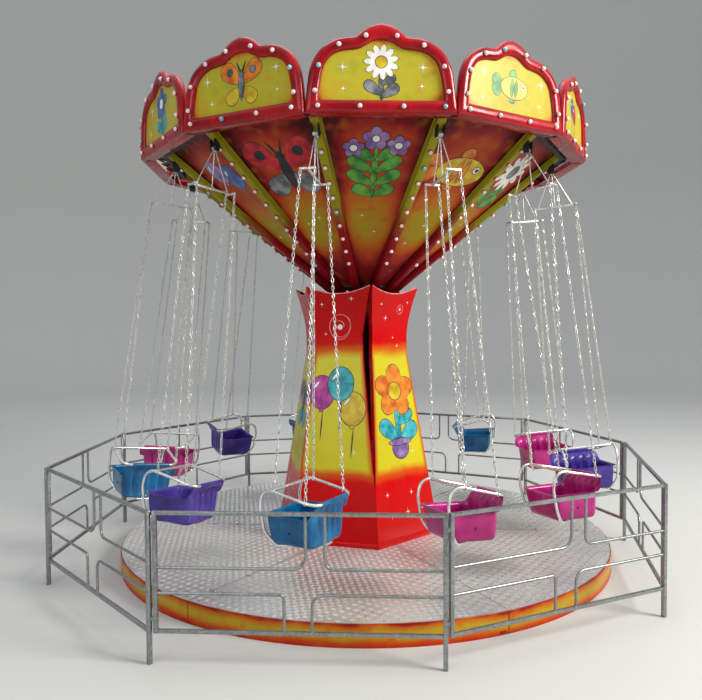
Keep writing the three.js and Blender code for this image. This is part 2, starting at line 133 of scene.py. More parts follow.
# Camera, fitted to the photograph, whose width and focal length are in pixels
PHOTO_WIDTH = 702
PHOTO_FOCAL = 709.3
SENSOR_WIDTH = 36
CAMERA_PLACE = (0, -7.0975, 2.2)
CAMERA_TURNS = (-1.006, -1.985, -0.321)
camera = bpy.data.objects.new("camera", bpy.data.cameras.new("camera"))
bpy.context.scene.collection.objects.link(camera)
camera.data.sensor_width = SENSOR_WIDTH
camera.data.lens = PHOTO_FOCAL / PHOTO_WIDTH * SENSOR_WIDTH
camera.data.clip_start = 0.05
camera.data.clip_end = 200
yaw, pitch, roll = (math.radians(a) for a in CAMERA_TURNS)
ahead = Vector((math.sin(yaw) * math.cos(pitch), math.cos(yaw) * math.cos(pitch), math.sin(pitch)))
level_right = Vector((math.cos(yaw), -math.sin(yaw), 0))
level_up = level_right.cross(ahead)
right = math.cos(roll) * level_right + math.sin(roll) * level_up
up = math.cos(roll) * level_up - math.sin(roll) * level_right
camera_axes = Matrix((right, up, -ahead)).transposed().to_4x4()
camera.matrix_world = Matrix.Translation(CAMERA_PLACE) @ camera_axes
bpy.context.scene.camera = camera


def soft_light(name, place, aim, size, power, tint=(1, 1, 1)):
    """A large square lamp that points at a spot on the ride."""
    lamp = bpy.data.lights.new(name, "AREA")
    lamp.size = size
    lamp.energy = power
    lamp.color = tint
    holder = bpy.data.objects.new(name, lamp)
    holder.location = place
    holder.rotation_euler = (Vector(aim) - Vector(place)).to_track_quat("-Z", "Y").to_euler()
    holder.visible_camera = False
    bpy.context.scene.collection.objects.link(holder)


# The light comes from high up at the right, as in the photograph, and is filled from the front
soft_light("key_light", (9.5, -5.5, 7.5), (0, 0, 1.6), 4, 1700, (1, 0.97, 0.92))
soft_light("top_light", (0, 0, 13), (0, 0, 1.5), 8, 520)
soft_light("front_fill", (-5, -10, 5), (0, 0, 2.4), 5, 230, (0.94, 0.97, 1))
world = bpy.data.worlds.new("studio")
world.use_nodes = True
world.node_tree.nodes["Background"].inputs["Color"].default_value = (0.88, 0.93, 1, 1)
world.node_tree.nodes["Background"].inputs["Strength"].default_value = 0.82
bpy.context.scene.world = world
bpy.context.scene.view_settings.view_transform = "Standard"


# Finishes
def colour(code):
    """Linear colour of an sRGB hex code."""
    parts = [int(code[i : i + 2], 16) / 255 for i in (1, 3, 5)]
    return (*[p / 12.92 if p <= 0.04045 else ((p + 0.055) / 1.055) ** 2.4 for p in parts], 1)


def node(tree, kind, feed=None, stops=None, **settings):
    """Adds a node with its settings, its ramp stops and what feeds its sockets."""
    made = tree.nodes.new(kind)
    for key, value in settings.items():
        setattr(made, key, value)
    if stops:
        ramp = made.color_ramp
        while len(ramp.elements) < len(stops):
            ramp.elements.new(0.5)
        for element, (place, code) in zip(ramp.elements, stops):
            element.position = place
            element.color = colour(code) if isinstance(code, str) else (code, code, code, 1)
    for socket, value in (feed or {}).items():
        if isinstance(value, bpy.types.Node):
            value = next(o for o in value.outputs if o.enabled)
        if isinstance(value, bpy.types.NodeSocket):
            tree.links.new(value, made.inputs[socket])
        else:
            made.inputs[socket].default_value = value
    return made


def finish(name, constants):
    """A material, its node tree and its shader with these constants on it."""
    made = bpy.data.materials.new(name)
    made.use_nodes = True
    shader = made.node_tree.nodes["Principled BSDF"]
    for socket, value in constants.items():
        shader.inputs[socket].default_value = value
    return made, made.node_tree, shader


def wire(tree, shader, **links):
    """Feeds the shader: base, rough and normal by their nodes."""
    for key, socket in (("base", "Base Color"), ("rough", "Roughness"), ("normal", "Normal")):
        if key in links:
            made = links[key]
            tree.links.new(next(o for o in made.outputs if o.enabled), shader.inputs[socket])


# Aluminium tread plate, rolled: a soft grey mirror between the bars, with scuffs and dust
tread_plate, tree, shader = finish("aluminium_tread_plate_rolled",
    {"Metallic": 0.5, "Specular IOR Level": 0.4})
place = node(tree, "ShaderNodeTexCoord").outputs["Object"]
clouds = node(tree, "ShaderNodeTexNoise", {"Vector": place, "Scale": 1.7, "Detail": 6.0})
fine = node(tree, "ShaderNodeTexNoise", {"Vector": place, "Scale": 90.0, "Detail": 2.0})
both = node(tree, "ShaderNodeMath", {0: clouds, 1: fine}, operation="ADD")
level = node(tree, "ShaderNodeMath", {0: both, 1: 0.5}, operation="MULTIPLY")
tone = node(tree, "ShaderNodeValToRGB", {"Fac": level},
    [(0.36, "#b9bab7"), (0.5, "#cccdca"), (0.62, "#dcdcd9")])
rough = node(tree, "ShaderNodeMapRange",
    {"Value": clouds, "From Min": 0.3, "From Max": 0.7, "To Min": 0.26, "To Max": 0.42})
dents = node(tree, "ShaderNodeBump", {"Height": fine, "Distance": 0.0006, "Strength": 0.5})
wire(tree, shader, base=tone, rough=rough, normal=dents)

# The same plate where shoes have polished the bars bright
tread_lug, tree, shader = finish("aluminium_tread_plate_polished_bars", {"Metallic": 0.7})
place = node(tree, "ShaderNodeTexCoord").outputs["Object"]
clouds = node(tree, "ShaderNodeTexNoise", {"Vector": place, "Scale": 2.3, "Detail": 4.0})
tone = node(tree, "ShaderNodeValToRGB", {"Fac": clouds}, [(0.35, "#e2e2df"), (0.65, "#f6f6f3")])
rough = node(tree, "ShaderNodeMapRange",
    {"Value": clouds, "From Min": 0.3, "From Max": 0.7, "To Min": 0.22, "To Max": 0.36})
wire(tree, shader, base=tone, rough=rough)

# Steel tube, hot-dip galvanised: grey zinc with spangle about 15 mm across, dull where it weathered
galvanised, tree, shader = finish("steel_hot_dip_galvanised", {"Metallic": 0.85})
place = node(tree, "ShaderNodeTexCoord").outputs["Object"]
spangle = node(tree, "ShaderNodeTexVoronoi", {"Vector": place, "Scale": 65.0})
streaks = node(tree, "ShaderNodeTexNoise", {"Vector": place, "Scale": 7.0, "Detail": 5.0})
mixed = node(tree, "ShaderNodeMath", {0: spangle.outputs["Color"], 1: streaks}, operation="ADD")
half = node(tree, "ShaderNodeMath", {0: mixed, 1: 0.5}, operation="MULTIPLY")
tone = node(tree, "ShaderNodeValToRGB", {"Fac": half}, [(0.2, "#7c8080"), (0.5, "#909493"), (0.8, "#a6aaa8")])
rough = node(tree, "ShaderNodeMapRange",
    {"Value": half, "From Min": 0.2, "From Max": 0.8, "To Min": 0.26, "To Max": 0.44})
pits = node(tree, "ShaderNodeBump", {"Height": streaks, "Distance": 0.0008, "Strength": 0.4})
wire(tree, shader, base=tone, rough=rough, normal=pits)

# Seat frame tube, zinc plated bright and hardly worn: pale, with faint dull patches all over
seat_zinc, tree, shader = finish("steel_tube_zinc_plated_bright", {"Metallic": 0.8})
place = node(tree, "ShaderNodeTexCoord").outputs["Object"]
wear = node(tree, "ShaderNodeTexNoise", {"Vector": place, "Scale": 9.0, "Detail": 3.0})
tone = node(tree, "ShaderNodeValToRGB", {"Fac": wear}, [(0.3, "#d6d7d5"), (0.7, "#f2f2ef")])
rough = node(tree, "ShaderNodeMapRange",
    {"Value": wear, "From Min": 0.3, "From Max": 0.7, "To Min": 0.18, "To Max": 0.3})
wire(tree, shader, base=tone, rough=rough)

# Chain, zinc plated: bright links with darker spots
chain_zinc, tree, shader = finish("steel_chain_zinc_plated", {"Metallic": 0.6})
place = node(tree, "ShaderNodeTexCoord").outputs["Object"]
spots = node(tree, "ShaderNodeTexNoise", {"Vector": place, "Scale": 60.0, "Detail": 2.0})
tone = node(tree, "ShaderNodeValToRGB", {"Fac": spots}, [(0.35, "#a9aaa6"), (0.55, "#e0e0da")])
rough = node(tree, "ShaderNodeMapRange",
    {"Value": spots, "From Min": 0.3, "From Max": 0.7, "To Min": 0.5, "To Max": 0.3})
wire(tree, shader, base=tone, rough=rough)

# Mild steel, brushed with dark enamel: near black and uneven, with a few brown spots
dark_steel, tree, shader = finish("mild_steel_dark_enamel", {"Metallic": 0.3})
place = node(tree, "ShaderNodeTexCoord").outputs["Object"]
patches = node(tree, "ShaderNodeTexNoise", {"Vector": place, "Scale": 12.0, "Detail": 6.0})
tone = node(tree, "ShaderNodeValToRGB", {"Fac": patches},
    [(0.4, "#1b1a1b"), (0.62, "#2e2b2a"), (0.75, "#4b382c")])
rough = node(tree, "ShaderNodeMapRange",
    {"Value": patches, "From Min": 0.3, "From Max": 0.7, "To Min": 0.45, "To Max": 0.75})
wire(tree, shader, base=tone, rough=rough)

# Glass-fibre moulding in red gelcoat: deep gloss over a slightly wavy laminate
red_gelcoat, tree, shader = finish("glass_fibre_red_gelcoat",
    {"Specular IOR Level": 0.3, "Coat Weight": 0.1, "Coat Roughness": 0.05})
place = node(tree, "ShaderNodeTexCoord").outputs["Object"]
clouds = node(tree, "ShaderNodeTexNoise", {"Vector": place, "Scale": 5.0, "Detail": 4.0})
tone = node(tree, "ShaderNodeValToRGB", {"Fac": clouds},
    [(0.3, "#7a0210"), (0.5, "#960411"), (0.7, "#aa0612")])
rough = node(tree, "ShaderNodeMapRange",
    {"Value": clouds, "From Min": 0.3, "From Max": 0.7, "To Min": 0.18, "To Max": 0.3})
waves = node(tree, "ShaderNodeBump", {"Height": clouds, "Distance": 0.004, "Strength": 0.35})
wire(tree, shader, base=tone, rough=rough, normal=waves)

# Back of a glass-fibre moulding, hand laid: matt grey flow coat over the weave
flow_coat, tree, shader = finish("glass_fibre_grey_flow_coat", {"Roughness": 0.7})
place = node(tree, "ShaderNodeTexCoord").outputs["Object"]
mat_lay = node(tree, "ShaderNodeTexNoise", {"Vector": place, "Scale": 70.0, "Detail": 5.0})
tone = node(tree, "ShaderNodeValToRGB", {"Fac": mat_lay}, [(0.3, "#8e8c84"), (0.7, "#aeaca2")])
lay = node(tree, "ShaderNodeBump", {"Height": mat_lay, "Distance": 0.0015, "Strength": 0.6})
wire(tree, shader, base=tone, normal=lay)

# The same laminate where it was sawn and sanded: pale pinkish, with red gelcoat dust in it
cut_edge, tree, shader = finish("glass_fibre_sanded_edge", {"Roughness": 0.45})
place = node(tree, "ShaderNodeTexCoord").outputs["Object"]
dust = node(tree, "ShaderNodeTexNoise", {"Vector": place, "Scale": 30.0, "Detail": 3.0})
tone = node(tree, "ShaderNodeValToRGB", {"Fac": dust}, [(0.35, "#c8443c"), (0.6, "#e0a096")])
wire(tree, shader, base=tone)


def airbrushed(name, pattern, stops, blotch, sway, rough=0.3, puffs=(), rim=None):
    """Two-pack enamel, airbrushed: pattern(tree) runs from 0 to 1 over the stops, and paint
    clouds, so many a metre, make it sway. Puffs are (from, to, colour) of small sprayed dabs,
    rim a pattern and a colour laid over its high end."""
    made, tree, shader = finish(name,
        {"Specular IOR Level": 0.13, "Coat Weight": 0.04, "Coat Roughness": 0.1})
    place = node(tree, "ShaderNodeTexCoord").outputs["Object"]
    clouds = node(tree, "ShaderNodeTexNoise", {"Vector": place, "Scale": blotch, "Detail": 3.0})
    shift = node(tree, "ShaderNodeMapRange",
        {"Value": clouds, "From Min": 0.3, "From Max": 0.7, "To Min": -sway, "To Max": sway})
    value = node(tree, "ShaderNodeMath", {0: pattern(tree), 1: shift}, operation="ADD", use_clamp=True)
    tone = node(tree, "ShaderNodeValToRGB", {"Fac": value}, stops)
    dabs = node(tree, "ShaderNodeTexNoise", {"Vector": place, "Scale": 11.0, "Detail": 0.0})
    for start, end, code in puffs:
        share = node(tree, "ShaderNodeMapRange",
            {"Value": dabs, "From Min": start, "From Max": end, "To Max": 0.75},
            interpolation_type="SMOOTHSTEP")
        tone = node(tree, "ShaderNodeMix", {0: share, 6: tone, 7: colour(code)}, data_type="RGBA")
    if rim:
        tone = node(tree, "ShaderNodeMix", {0: rim[0](tree), 6: tone, 7: colour(rim[1])}, data_type="RGBA")
    grime = node(tree, "ShaderNodeTexNoise", {"Vector": place, "Scale": 3.0, "Detail": 8.0})
    worn = node(tree, "ShaderNodeMapRange",
        {"Value": grime, "From Min": 0.4, "From Max": 0.75, "To Max": 0.12})
    aged = node(tree, "ShaderNodeMix", {0: worn, 6: tone, 7: colour("#6a3a20")}, data_type="RGBA")
    dull = node(tree, "ShaderNodeMapRange", {"Value": grime, "To Min": rough - 0.08, "To Max": rough + 0.12})
    wire(tree, shader, base=aged, rough=dull)
    return made


def across_and_up(tree):
    """How far a point is to the side and up, from the piece's own map, which is called metres."""
    parts = node(tree, "ShaderNodeSeparateXYZ", {0: node(tree, "ShaderNodeUVMap", uv_map="metres")})
    side = node(tree, "ShaderNodeMath", {0: parts.outputs["X"]}, operation="ABSOLUTE")
    return side, parts.outputs["Y"]


def board_glow(tree):
    """0 at the middle of a crown board, 1 at its moulding."""
    side, height = across_and_up(tree)
    outward = node(tree, "ShaderNodeMath", {0: side, 1: 0.47}, operation="DIVIDE")
    wide = node(tree, "ShaderNodeMath", {0: outward, 1: 3.2}, operation="POWER")
    centred = node(tree, "ShaderNodeMath", {0: height, 1: 0.22}, operation="SUBTRACT")
    level = node(tree, "ShaderNodeMath", {0: centred}, operation="ABSOLUTE")
    upward = node(tree, "ShaderNodeMath", {0: level, 1: 0.25}, operation="DIVIDE")
    tall = node(tree, "ShaderNodeMath", {0: upward, 1: 3.0}, operation="POWER")
    return node(tree, "ShaderNodeMath", {0: wide, 1: tall}, operation="ADD")


def panel_glow(tree):
    """0 on the bright heart of an underside panel, 1 at its edges. The map runs -1 to 1 across
    the panel and rises to 1 at the rim."""
    side, along = across_and_up(tree)
    wide = node(tree, "ShaderNodeMath", {0: side, 1: 3.4}, operation="POWER")
    edge = node(tree, "ShaderNodeMath", {0: wide, 1: 0.85}, operation="MULTIPLY")
    ends = node(tree, "ShaderNodeValToRGB", {"Fac": along},
        [(0.0, 0.8), (0.12, 0.5), (0.25, 0.0), (0.4, 0.05), (0.58, 0.4), (0.86, 0.48), (0.98, 0.9)])
    return node(tree, "ShaderNodeMath", {0: edge, 1: ends}, operation="ADD")


def tower_bands(tree):
    """Height up the tower from 0 to 1."""
    height = across_and_up(tree)[1]
    return node(tree, "ShaderNodeMapRange",
        {"Value": height, "From Min": DECK_TOP, "From Max": TIP_HEIGHT})


def tower_edges(tree):
    """1 at the long edges of a tower panel's yellow part, 0 elsewhere."""
    side = across_and_up(tree)[0]
    near = node(tree, "ShaderNodeMapRange", {"Value": side, "From Min": 0.86, "From Max": 1.0})
    yellow = node(tree, "ShaderNodeValToRGB", {"Fac": tower_bands(tree)},
        [(0.24, 0.0), (0.28, 1.0), (0.71, 1.0), (0.77, 0.0)])
    return node(tree, "ShaderNodeMath", {0: near, 1: yellow}, operation="MULTIPLY")


def skirt_bands(tree):
    """Height up the deck edge from 0 to 1."""
    parts = node(tree, "ShaderNodeSeparateXYZ", {0: node(tree, "ShaderNodeTexCoord").outputs["Object"]})
    height = parts.outputs["Z"]
    return node(tree, "ShaderNodeMapRange", {"Value": height, "From Min": 0.0, "From Max": SKIRT_TOP})


def arm_bands(tree):
    """0 at the hub and 1 at the rim, by distance from the axis."""
    place = node(tree, "ShaderNodeTexCoord").outputs["Object"]
    flat = node(tree, "ShaderNodeVectorMath", {0: place, 1: (1, 1, 0)}, operation="MULTIPLY")
    reach = node(tree, "ShaderNodeVectorMath", {0: flat}, operation="LENGTH").outputs["Value"]
    return node(tree, "ShaderNodeMapRange",
        {"Value": reach, "From Min": ARM_INNER, "From Max": ARM_OUTER})


# Crown boards: yellow with faint puffs of orange, and an orange haze in front of the moulding
crown_paint = airbrushed("crown_board_enamel_airbrushed", board_glow,
    [(0.3, "#b5aa30"), (0.6, "#bba22c"), (0.84, "#c07e24"), (1.0, "#a2401a")],
    5.0, 0.1, 0.3, [(0.5, 1.0, "#c08a26"), (0.5, 0.05, "#9aa032")])

# Underside panels: olive gold at the heart, orange brown out to the rim, dark red round the edges; every tone
# is set darker as painted shade, for the shade under the canopy
panel_paint_and_shade = airbrushed("underside_panel_enamel_with_painted_shade", panel_glow,
    [(0.0, "#9c881c"), (0.25, "#b2661a"), (0.5, "#a8361a"), (0.76, "#7c0f1a"), (1.0, "#44060e")],
    3.2, 0.12, 0.42, [(0.5, 0.95, "#a8541a")])

# Tower: red foot and head, a yellow middle with narrow orange bands, and red haze at the edges
tower_paint = airbrushed("tower_panel_enamel_airbrushed", tower_bands,
    [(0.0, "#b90208"), (0.235, "#c60406"), (0.262, "#cd5210"), (0.288, "#c9bd24"), (0.712, "#cbc22a"),
     (0.745, "#cc6514"), (0.775, "#c60406"), (1.0, "#b40208")],
    1.6, 0.014, 0.26, (), (tower_edges, "#c4340c"))

# Deck edge: olive gold with orange blotches between a thin dark red line and a red foot
skirt_paint = airbrushed("deck_edge_enamel_airbrushed", skirt_bands,
    [(0.0, "#b01a0a"), (0.2, "#c4480e"), (0.4, "#c08a1e"), (0.62, "#b39a26"), (0.86, "#c0640f"),
     (0.96, "#a3260c"), (1.0, "#8c120c")],
    3.0, 0.09, 0.3, [(0.52, 0.9, "#c2560f")])

# Arms: red at the hub, olive yellow further out
arm_paint = airbrushed("arm_tube_enamel_airbrushed", arm_bands,
    [(0.0, "#7c0614"), (0.34, "#8c0a18"), (0.42, "#84501a"), (0.5, "#8a8218"), (1.0, "#98901e")],
    3.0, 0.06, 0.4)

# Bucket seats, rotationally moulded polyethylene: satin, hardly mottled, paler in patches
seat_finish = {}
for tint, (deep, body, pale) in {
    "cyan": ("#034069", "#055688", "#107eae"),
    "purple": ("#2c2072", "#3f2f8a", "#5a489f"),
    "pink": ("#860d56", "#a4146a", "#bc348a"),
}.items():
    made, tree, shader = finish("polyethylene_rotomoulded_" + tint, {"Specular IOR Level": 0.45})
    place = node(tree, "ShaderNodeTexCoord").outputs["Object"]
    mottle = node(tree, "ShaderNodeTexNoise", {"Vector": place, "Scale": 6.0, "Detail": 4.0})
    tone = node(tree, "ShaderNodeValToRGB", {"Fac": mottle}, [(0.28, deep), (0.5, body), (0.82, pale)])
    rough = node(tree, "ShaderNodeMapRange",
        {"Value": mottle, "From Min": 0.3, "From Max": 0.7, "To Min": 0.16, "To Max": 0.28})
    grain = node(tree, "ShaderNodeTexNoise", {"Vector": place, "Scale": 420.0, "Detail": 2.0})
    peel = node(tree, "ShaderNodeBump", {"Height": grain, "Distance": 0.0004, "Strength": 0.35})
    wire(tree, shader, base=tone, rough=rough, normal=peel)
    seat_finish[tint] = made

# Lamp caps, opal polycarbonate: milky with a soft gloss, some tinted
lamp_finish = []
for name, deep, pale in (("opal", "#d9b9bd", "#f3e6e8"), ("aqua", "#3fa9b5", "#8fdbe0")):
    made, tree, shader = finish("polycarbonate_lamp_cap_" + name,
        {"Subsurface Weight": 0.15, "Coat Weight": 0.5})
    place = node(tree, "ShaderNodeTexCoord").outputs["Object"]
    milky = node(tree, "ShaderNodeTexNoise", {"Vector": place, "Scale": 40.0})
    tone = node(tree, "ShaderNodeValToRGB", {"Fac": milky}, [(0.35, deep), (0.65, pale)])
    rough = node(tree, "ShaderNodeMapRange", {"Value": milky, "To Min": 0.15, "To Max": 0.3})
    wire(tree, shader, base=tone, rough=rough)
    lamp_finish.append(made)

# Motif paints, airbrushed enamel: each fades lighter and darker inside its outline
paint = {}
for name, deep, pale in (
    ("outline", "#1d2326", "#3a3230"), ("white", "#d8d6cf", "#f5f3ec"), ("teal", "#17808f", "#4cb9bf"),
    ("magenta", "#8c2378", "#c04fa0"), ("orange", "#b9561a", "#e08a2c"), ("lilac", "#6d4f8c", "#a184b4"),
    ("green", "#2a6b2c", "#5fa13c"), ("crimson", "#8f1420", "#c93030"), ("blue", "#26407c", "#4f78b4"),
    ("gold", "#b58e1a", "#d2bd34"), ("smoke", "#4b4f52", "#8d9192"), ("pink_haze", "#c86a66", "#dc8c84"),
):
    made, tree, shader = finish("motif_enamel_" + name, {"Specular IOR Level": 0.3})
    place = node(tree, "ShaderNodeTexCoord").outputs["Object"]
    spray = node(tree, "ShaderNodeTexNoise", {"Vector": place, "Scale": 11.0, "Detail": 3.0})
    tone = node(tree, "ShaderNodeValToRGB", {"Fac": spray}, [(0.36, deep), (0.64, pale)])
    rough = node(tree, "ShaderNodeMapRange", {"Value": spray, "To Min": 0.28, "To Max": 0.44})
    wire(tree, shader, base=tone, rough=rough)
    paint[name] = made

# Studio floor: pale, even and matt
floor_finish, tree, shader = finish("studio_floor_pale", {"Base Color": colour("#c0c0bc"), "Roughness": 0.9})


# Shaping tools
def as_mesh(bm):
    """The finished shape as a mesh that can be stamped many times."""
    mesh = bpy.data.meshes.new("shape")
    bm.to_mesh(mesh)
    bm.free()
    return mesh


def stamp(bm, shape, matrix, finish_index=None):
    """Adds a copy of a shape at a place."""
    copy = shape.copy()
    copy.transform(matrix)
    if finish_index is not None:
        copy.polygons.foreach_set("material_index", [finish_index] * len(copy.polygons))
    bm.from_mesh(copy)
    bpy.data.meshes.remove(copy)


def piece(name, bm, finishes, body, replaced=(), sharp=40):
    """Makes the finished piece, which rides on a body and may stand for solids."""
    mesh = bpy.data.meshes.new(name)
    bm.normal_update()
    bm.to_mesh(mesh)
    bm.free()
    for made in finishes:
        mesh.materials.append(made)
    mesh.polygons.foreach_set("use_smooth", [True] * len(mesh.polygons))
    mesh.set_sharp_from_angle(angle=math.radians(sharp))
    made = bpy.data.objects.new(name, mesh)
    bpy.context.scene.collection.objects.link(made)
    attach(made, body)
    if replaced:
        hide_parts(*replaced)
    return made


def bent(corners, bends, steps=6):
    """The path through the corners, each one rounded to its bend radius."""
    corners = [Vector(c) for c in corners]
    path = [corners[0]]
    for before, corner, after, bend in zip(corners, corners[1:], corners[2:], bends):
        back, on = (before - corner).normalized(), (after - corner).normalized()
        half = back.angle(on) / 2
        centre = corner + (back + on).normalized() * bend / math.sin(half)
        arm = corner + back * bend / math.tan(half) - centre
        axis = back.cross(on).normalized()
        for k in range(steps + 1):
            turn = Matrix.Rotation(-(math.pi - 2 * half) * k / steps, 3, axis)
            path.append(centre + turn @ arm)
    path.append(corners[-1])
    return path


def tube(path, radius, sides=3, cyclic=False):
    """A round tube along a path as a mesh, its ends closed."""
    curve = bpy.data.curves.new("tube", "CURVE")
    curve.dimensions = "3D"
    curve.bevel_depth = radius
    curve.bevel_resolution = sides
    curve.use_fill_caps = not cyclic
    spline = curve.splines.new("POLY")
    spline.points.add(len(path) - 1)
    for spot, place in zip(spline.points, path):
        spot.co = (*place, 1)
    spline.use_cyclic_u = cyclic
    holder = bpy.data.objects.new("tube", curve)
    mesh = bpy.data.meshes.new_from_object(holder)
    mesh.materials.clear()
    bpy.data.objects.remove(holder)
    bpy.data.curves.remove(curve)
    return mesh


def block(low, high, bevel=0.0, segments=2):
    """A box between two corners with its edges rounded."""
    bm = bmesh.new()
    size = Vector(high) - Vector(low)
    middle = (Vector(high) + Vector(low)) / 2
    bmesh.ops.create_cube(bm, size=1, matrix=Matrix.Translation(middle) @ Matrix.Diagonal((*size, 1)))
    if bevel:
        bmesh.ops.bevel(bm, geom=bm.edges[:], offset=bevel, segments=segments, profile=0.5,
            affect="EDGES", material=-1)
    return as_mesh(bm)


def skin(rows):
    """A surface laid over rows of points; each row is a closed loop."""
    across, up = len(rows[0]), len(rows) - 1
    bm = bmesh.new()
    bmesh.ops.create_grid(bm, x_segments=across, y_segments=up, size=1)
    for vert in bm.verts:
        i = round((vert.co.x + 1) / 2 * across) % across
        j = round((vert.co.y + 1) / 2 * up)
        vert.co = rows[j][i]
    bmesh.ops.remove_doubles(bm, verts=bm.verts, dist=1e-6)
    rims = [e for e in bm.edges if e.is_boundary]
    if rims:
        bmesh.ops.holes_fill(bm, edges=rims)
    bmesh.ops.recalc_face_normals(bm, faces=bm.faces)
    return bm


def spun(profile, steps, start=0.0):
    """A profile of (radius, height) points turned once round the axis."""
    bm = bmesh.new()
    verts = [bm.verts.new((0, -r, z)) for r, z in profile]
    edges = [bm.edges.new(pair) for pair in zip(verts, verts[1:])]
    bmesh.ops.rotate(bm, verts=verts, cent=(0, 0, 0), matrix=Matrix.Rotation(math.radians(start), 3, "Z"))
    bmesh.ops.spin(bm, geom=verts + edges, cent=(0, 0, 0), axis=(0, 0, 1), angle=math.tau,
        steps=steps, use_merge=True)
    bmesh.ops.remove_doubles(bm, verts=bm.verts, dist=1e-5)
    bmesh.ops.recalc_face_normals(bm, faces=bm.faces)
    return bm


def smooth_line(points, steps=5):
    """A smooth line through the points."""
    ends = [points[0]] + points + [points[-1]]
    line = []
    for a, b, c, d in zip(ends, ends[1:], ends[2:], ends[3:]):
        for k in range(steps):
            t = k / steps
            line.append(tuple(
                0.5 * (2 * q + (r - p) * t + (2 * p - 5 * q + 4 * r - s) * t**2
                    + (3 * q - p - 3 * r + s) * t**3)
                for p, q, r, s in zip(a, b, c, d)
            ))
    return line + [points[-1]]


# Deck
def five_bars():
    """One group of the five-bar tread plate: 40 mm bars side by side."""
    bar = bmesh.new()
    bmesh.ops.create_cone(bar, segments=4, radius1=1, radius2=0, depth=1, cap_ends=False)
    bmesh.ops.translate(bar, verts=bar.verts, vec=(0, 0, 0.5))
    bmesh.ops.scale(bar, verts=bar.verts, vec=(0.02, 0.0036, 0.0026))
    bar = as_mesh(bar)
    bm = bmesh.new()
    for k in range(-2, 3):
        stamp(bm, bar, Matrix.Translation((0, 0.0076 * k, 0)))
    return as_mesh(bm)


def deck():
    pitch = 0.053
    reach = DECK_RADIUS - 0.03
    shape = five_bars()
    bm = bmesh.new()
    count = int(reach / pitch)
    for i in range(-count, count + 1):
        for j in range(-count, count + 1):
            x, y, _ = facing(10) @ Vector((i * pitch, j * pitch, 0))
            distance = math.hypot(x, y)
            if distance > reach or distance < 0.6:
                continue
            half_step = DECK_SEAM_STEP / 2
            from_seam = (math.degrees(math.atan2(x, -y)) - DECK_SEAM) % DECK_SEAM_STEP
            from_seam = (from_seam + half_step) % DECK_SEAM_STEP - half_step
            if abs(math.radians(from_seam) * distance) < 0.022:
                continue
            turn = facing(55 if (i + j) % 2 else -35)
            stamp(bm, shape, Matrix.Translation((x, y, DECK_TOP)) @ turn)
    piece("deck_tread_bars", bm, [tread_lug], "base", sharp=20)

    bm = bmesh.new()
    strip = block((-0.0014, -reach - 0.012, DECK_TOP), (0.0014, -0.72, DECK_TOP + 0.0008))
    seams = [DECK_SEAM + angle for angle in range(0, 360, DECK_SEAM_STEP)]
    for seam in seams:
        stamp(bm, strip, facing(seam))
    screw = bmesh.new()
    bmesh.ops.create_cone(screw, segments=10, radius1=0.011, radius2=0.007, depth=0.005, cap_ends=True)
    screw = as_mesh(screw)
    for seam in seams:
        for side in (-1, 1):
            for out in (0.9, 1.3, 1.7, 2.1):
                spot = Matrix.Translation((side * 0.02, -out, DECK_TOP + 0.002))
                stamp(bm, screw, facing(seam) @ spot, 1)
    piece("deck_seams", bm, [dark_steel, galvanised], "base")

    outer, inner = DECK_RADIUS, DECK_RADIUS - 0.006
    profile = [(inner, 0), (outer, 0), (outer, 0.157), (outer - 0.001, 0.164), (outer - 0.005, SKIRT_TOP)]
    bm = spun(profile + [(inner, SKIRT_TOP), (inner, 0)], 240)
    piece("deck_edge", bm, [skirt_paint], "base", ["deck_skirt"])

    bm = bmesh.new()
    joint = block((-0.003, -DECK_RADIUS - 0.0012, 0.004), (0.003, -DECK_RADIUS + 0.004, 0.165))
    cap = block((-0.028, -DECK_RADIUS - 0.003, 0.012), (0.028, -DECK_RADIUS + 0.004, 0.03), 0.003)
    for seam in seams:
        stamp(bm, joint, facing(seam), 0)
        stamp(bm, cap, facing(seam - 1.2), 1)
    piece("deck_edge_joints", bm, [dark_steel, red_gelcoat], "base")


deck()
for name, made in (("deck_plate", tread_plate), ("base_frame", dark_steel), ("tower_column", dark_steel)):
    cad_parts[name].data.materials.clear()
    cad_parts[name].data.materials.append(made)


# Tower
def tower_radius(height):
    if height <= WAIST_LOW:
        over = max(0.0, (height - DECK_TOP - 0.6 * LEDGE_HEIGHT) / (0.4 * LEDGE_HEIGHT))
        ledge = LEDGE_REACH * math.sqrt(max(0.0, 1 - over * over))
        spread = (TOWER_FOOT - TOWER_WAIST) * (WAIST_LOW - height) / (WAIST_LOW - DECK_TOP)
        return TOWER_WAIST + spread + ledge
    if height <= WAIST_HIGH:
        return TOWER_WAIST
    share = (height - WAIST_HIGH) / (TIP_HEIGHT - WAIST_HIGH)
    return TOWER_WAIST + (TOWER_TIP - TOWER_WAIST) * share**1.5


def seam_width(height):
    if height < SEAM_START:
        return 0
    if height < WAIST_HIGH:
        return SEAM_WIDTH * ((height - SEAM_START) / (WAIST_HIGH - SEAM_START)) ** 0.65
    return SEAM_WIDTH + (SEAM_AT_TIP - SEAM_WIDTH) * (height - WAIST_HIGH) / (TIP_HEIGHT - WAIST_HIGH)


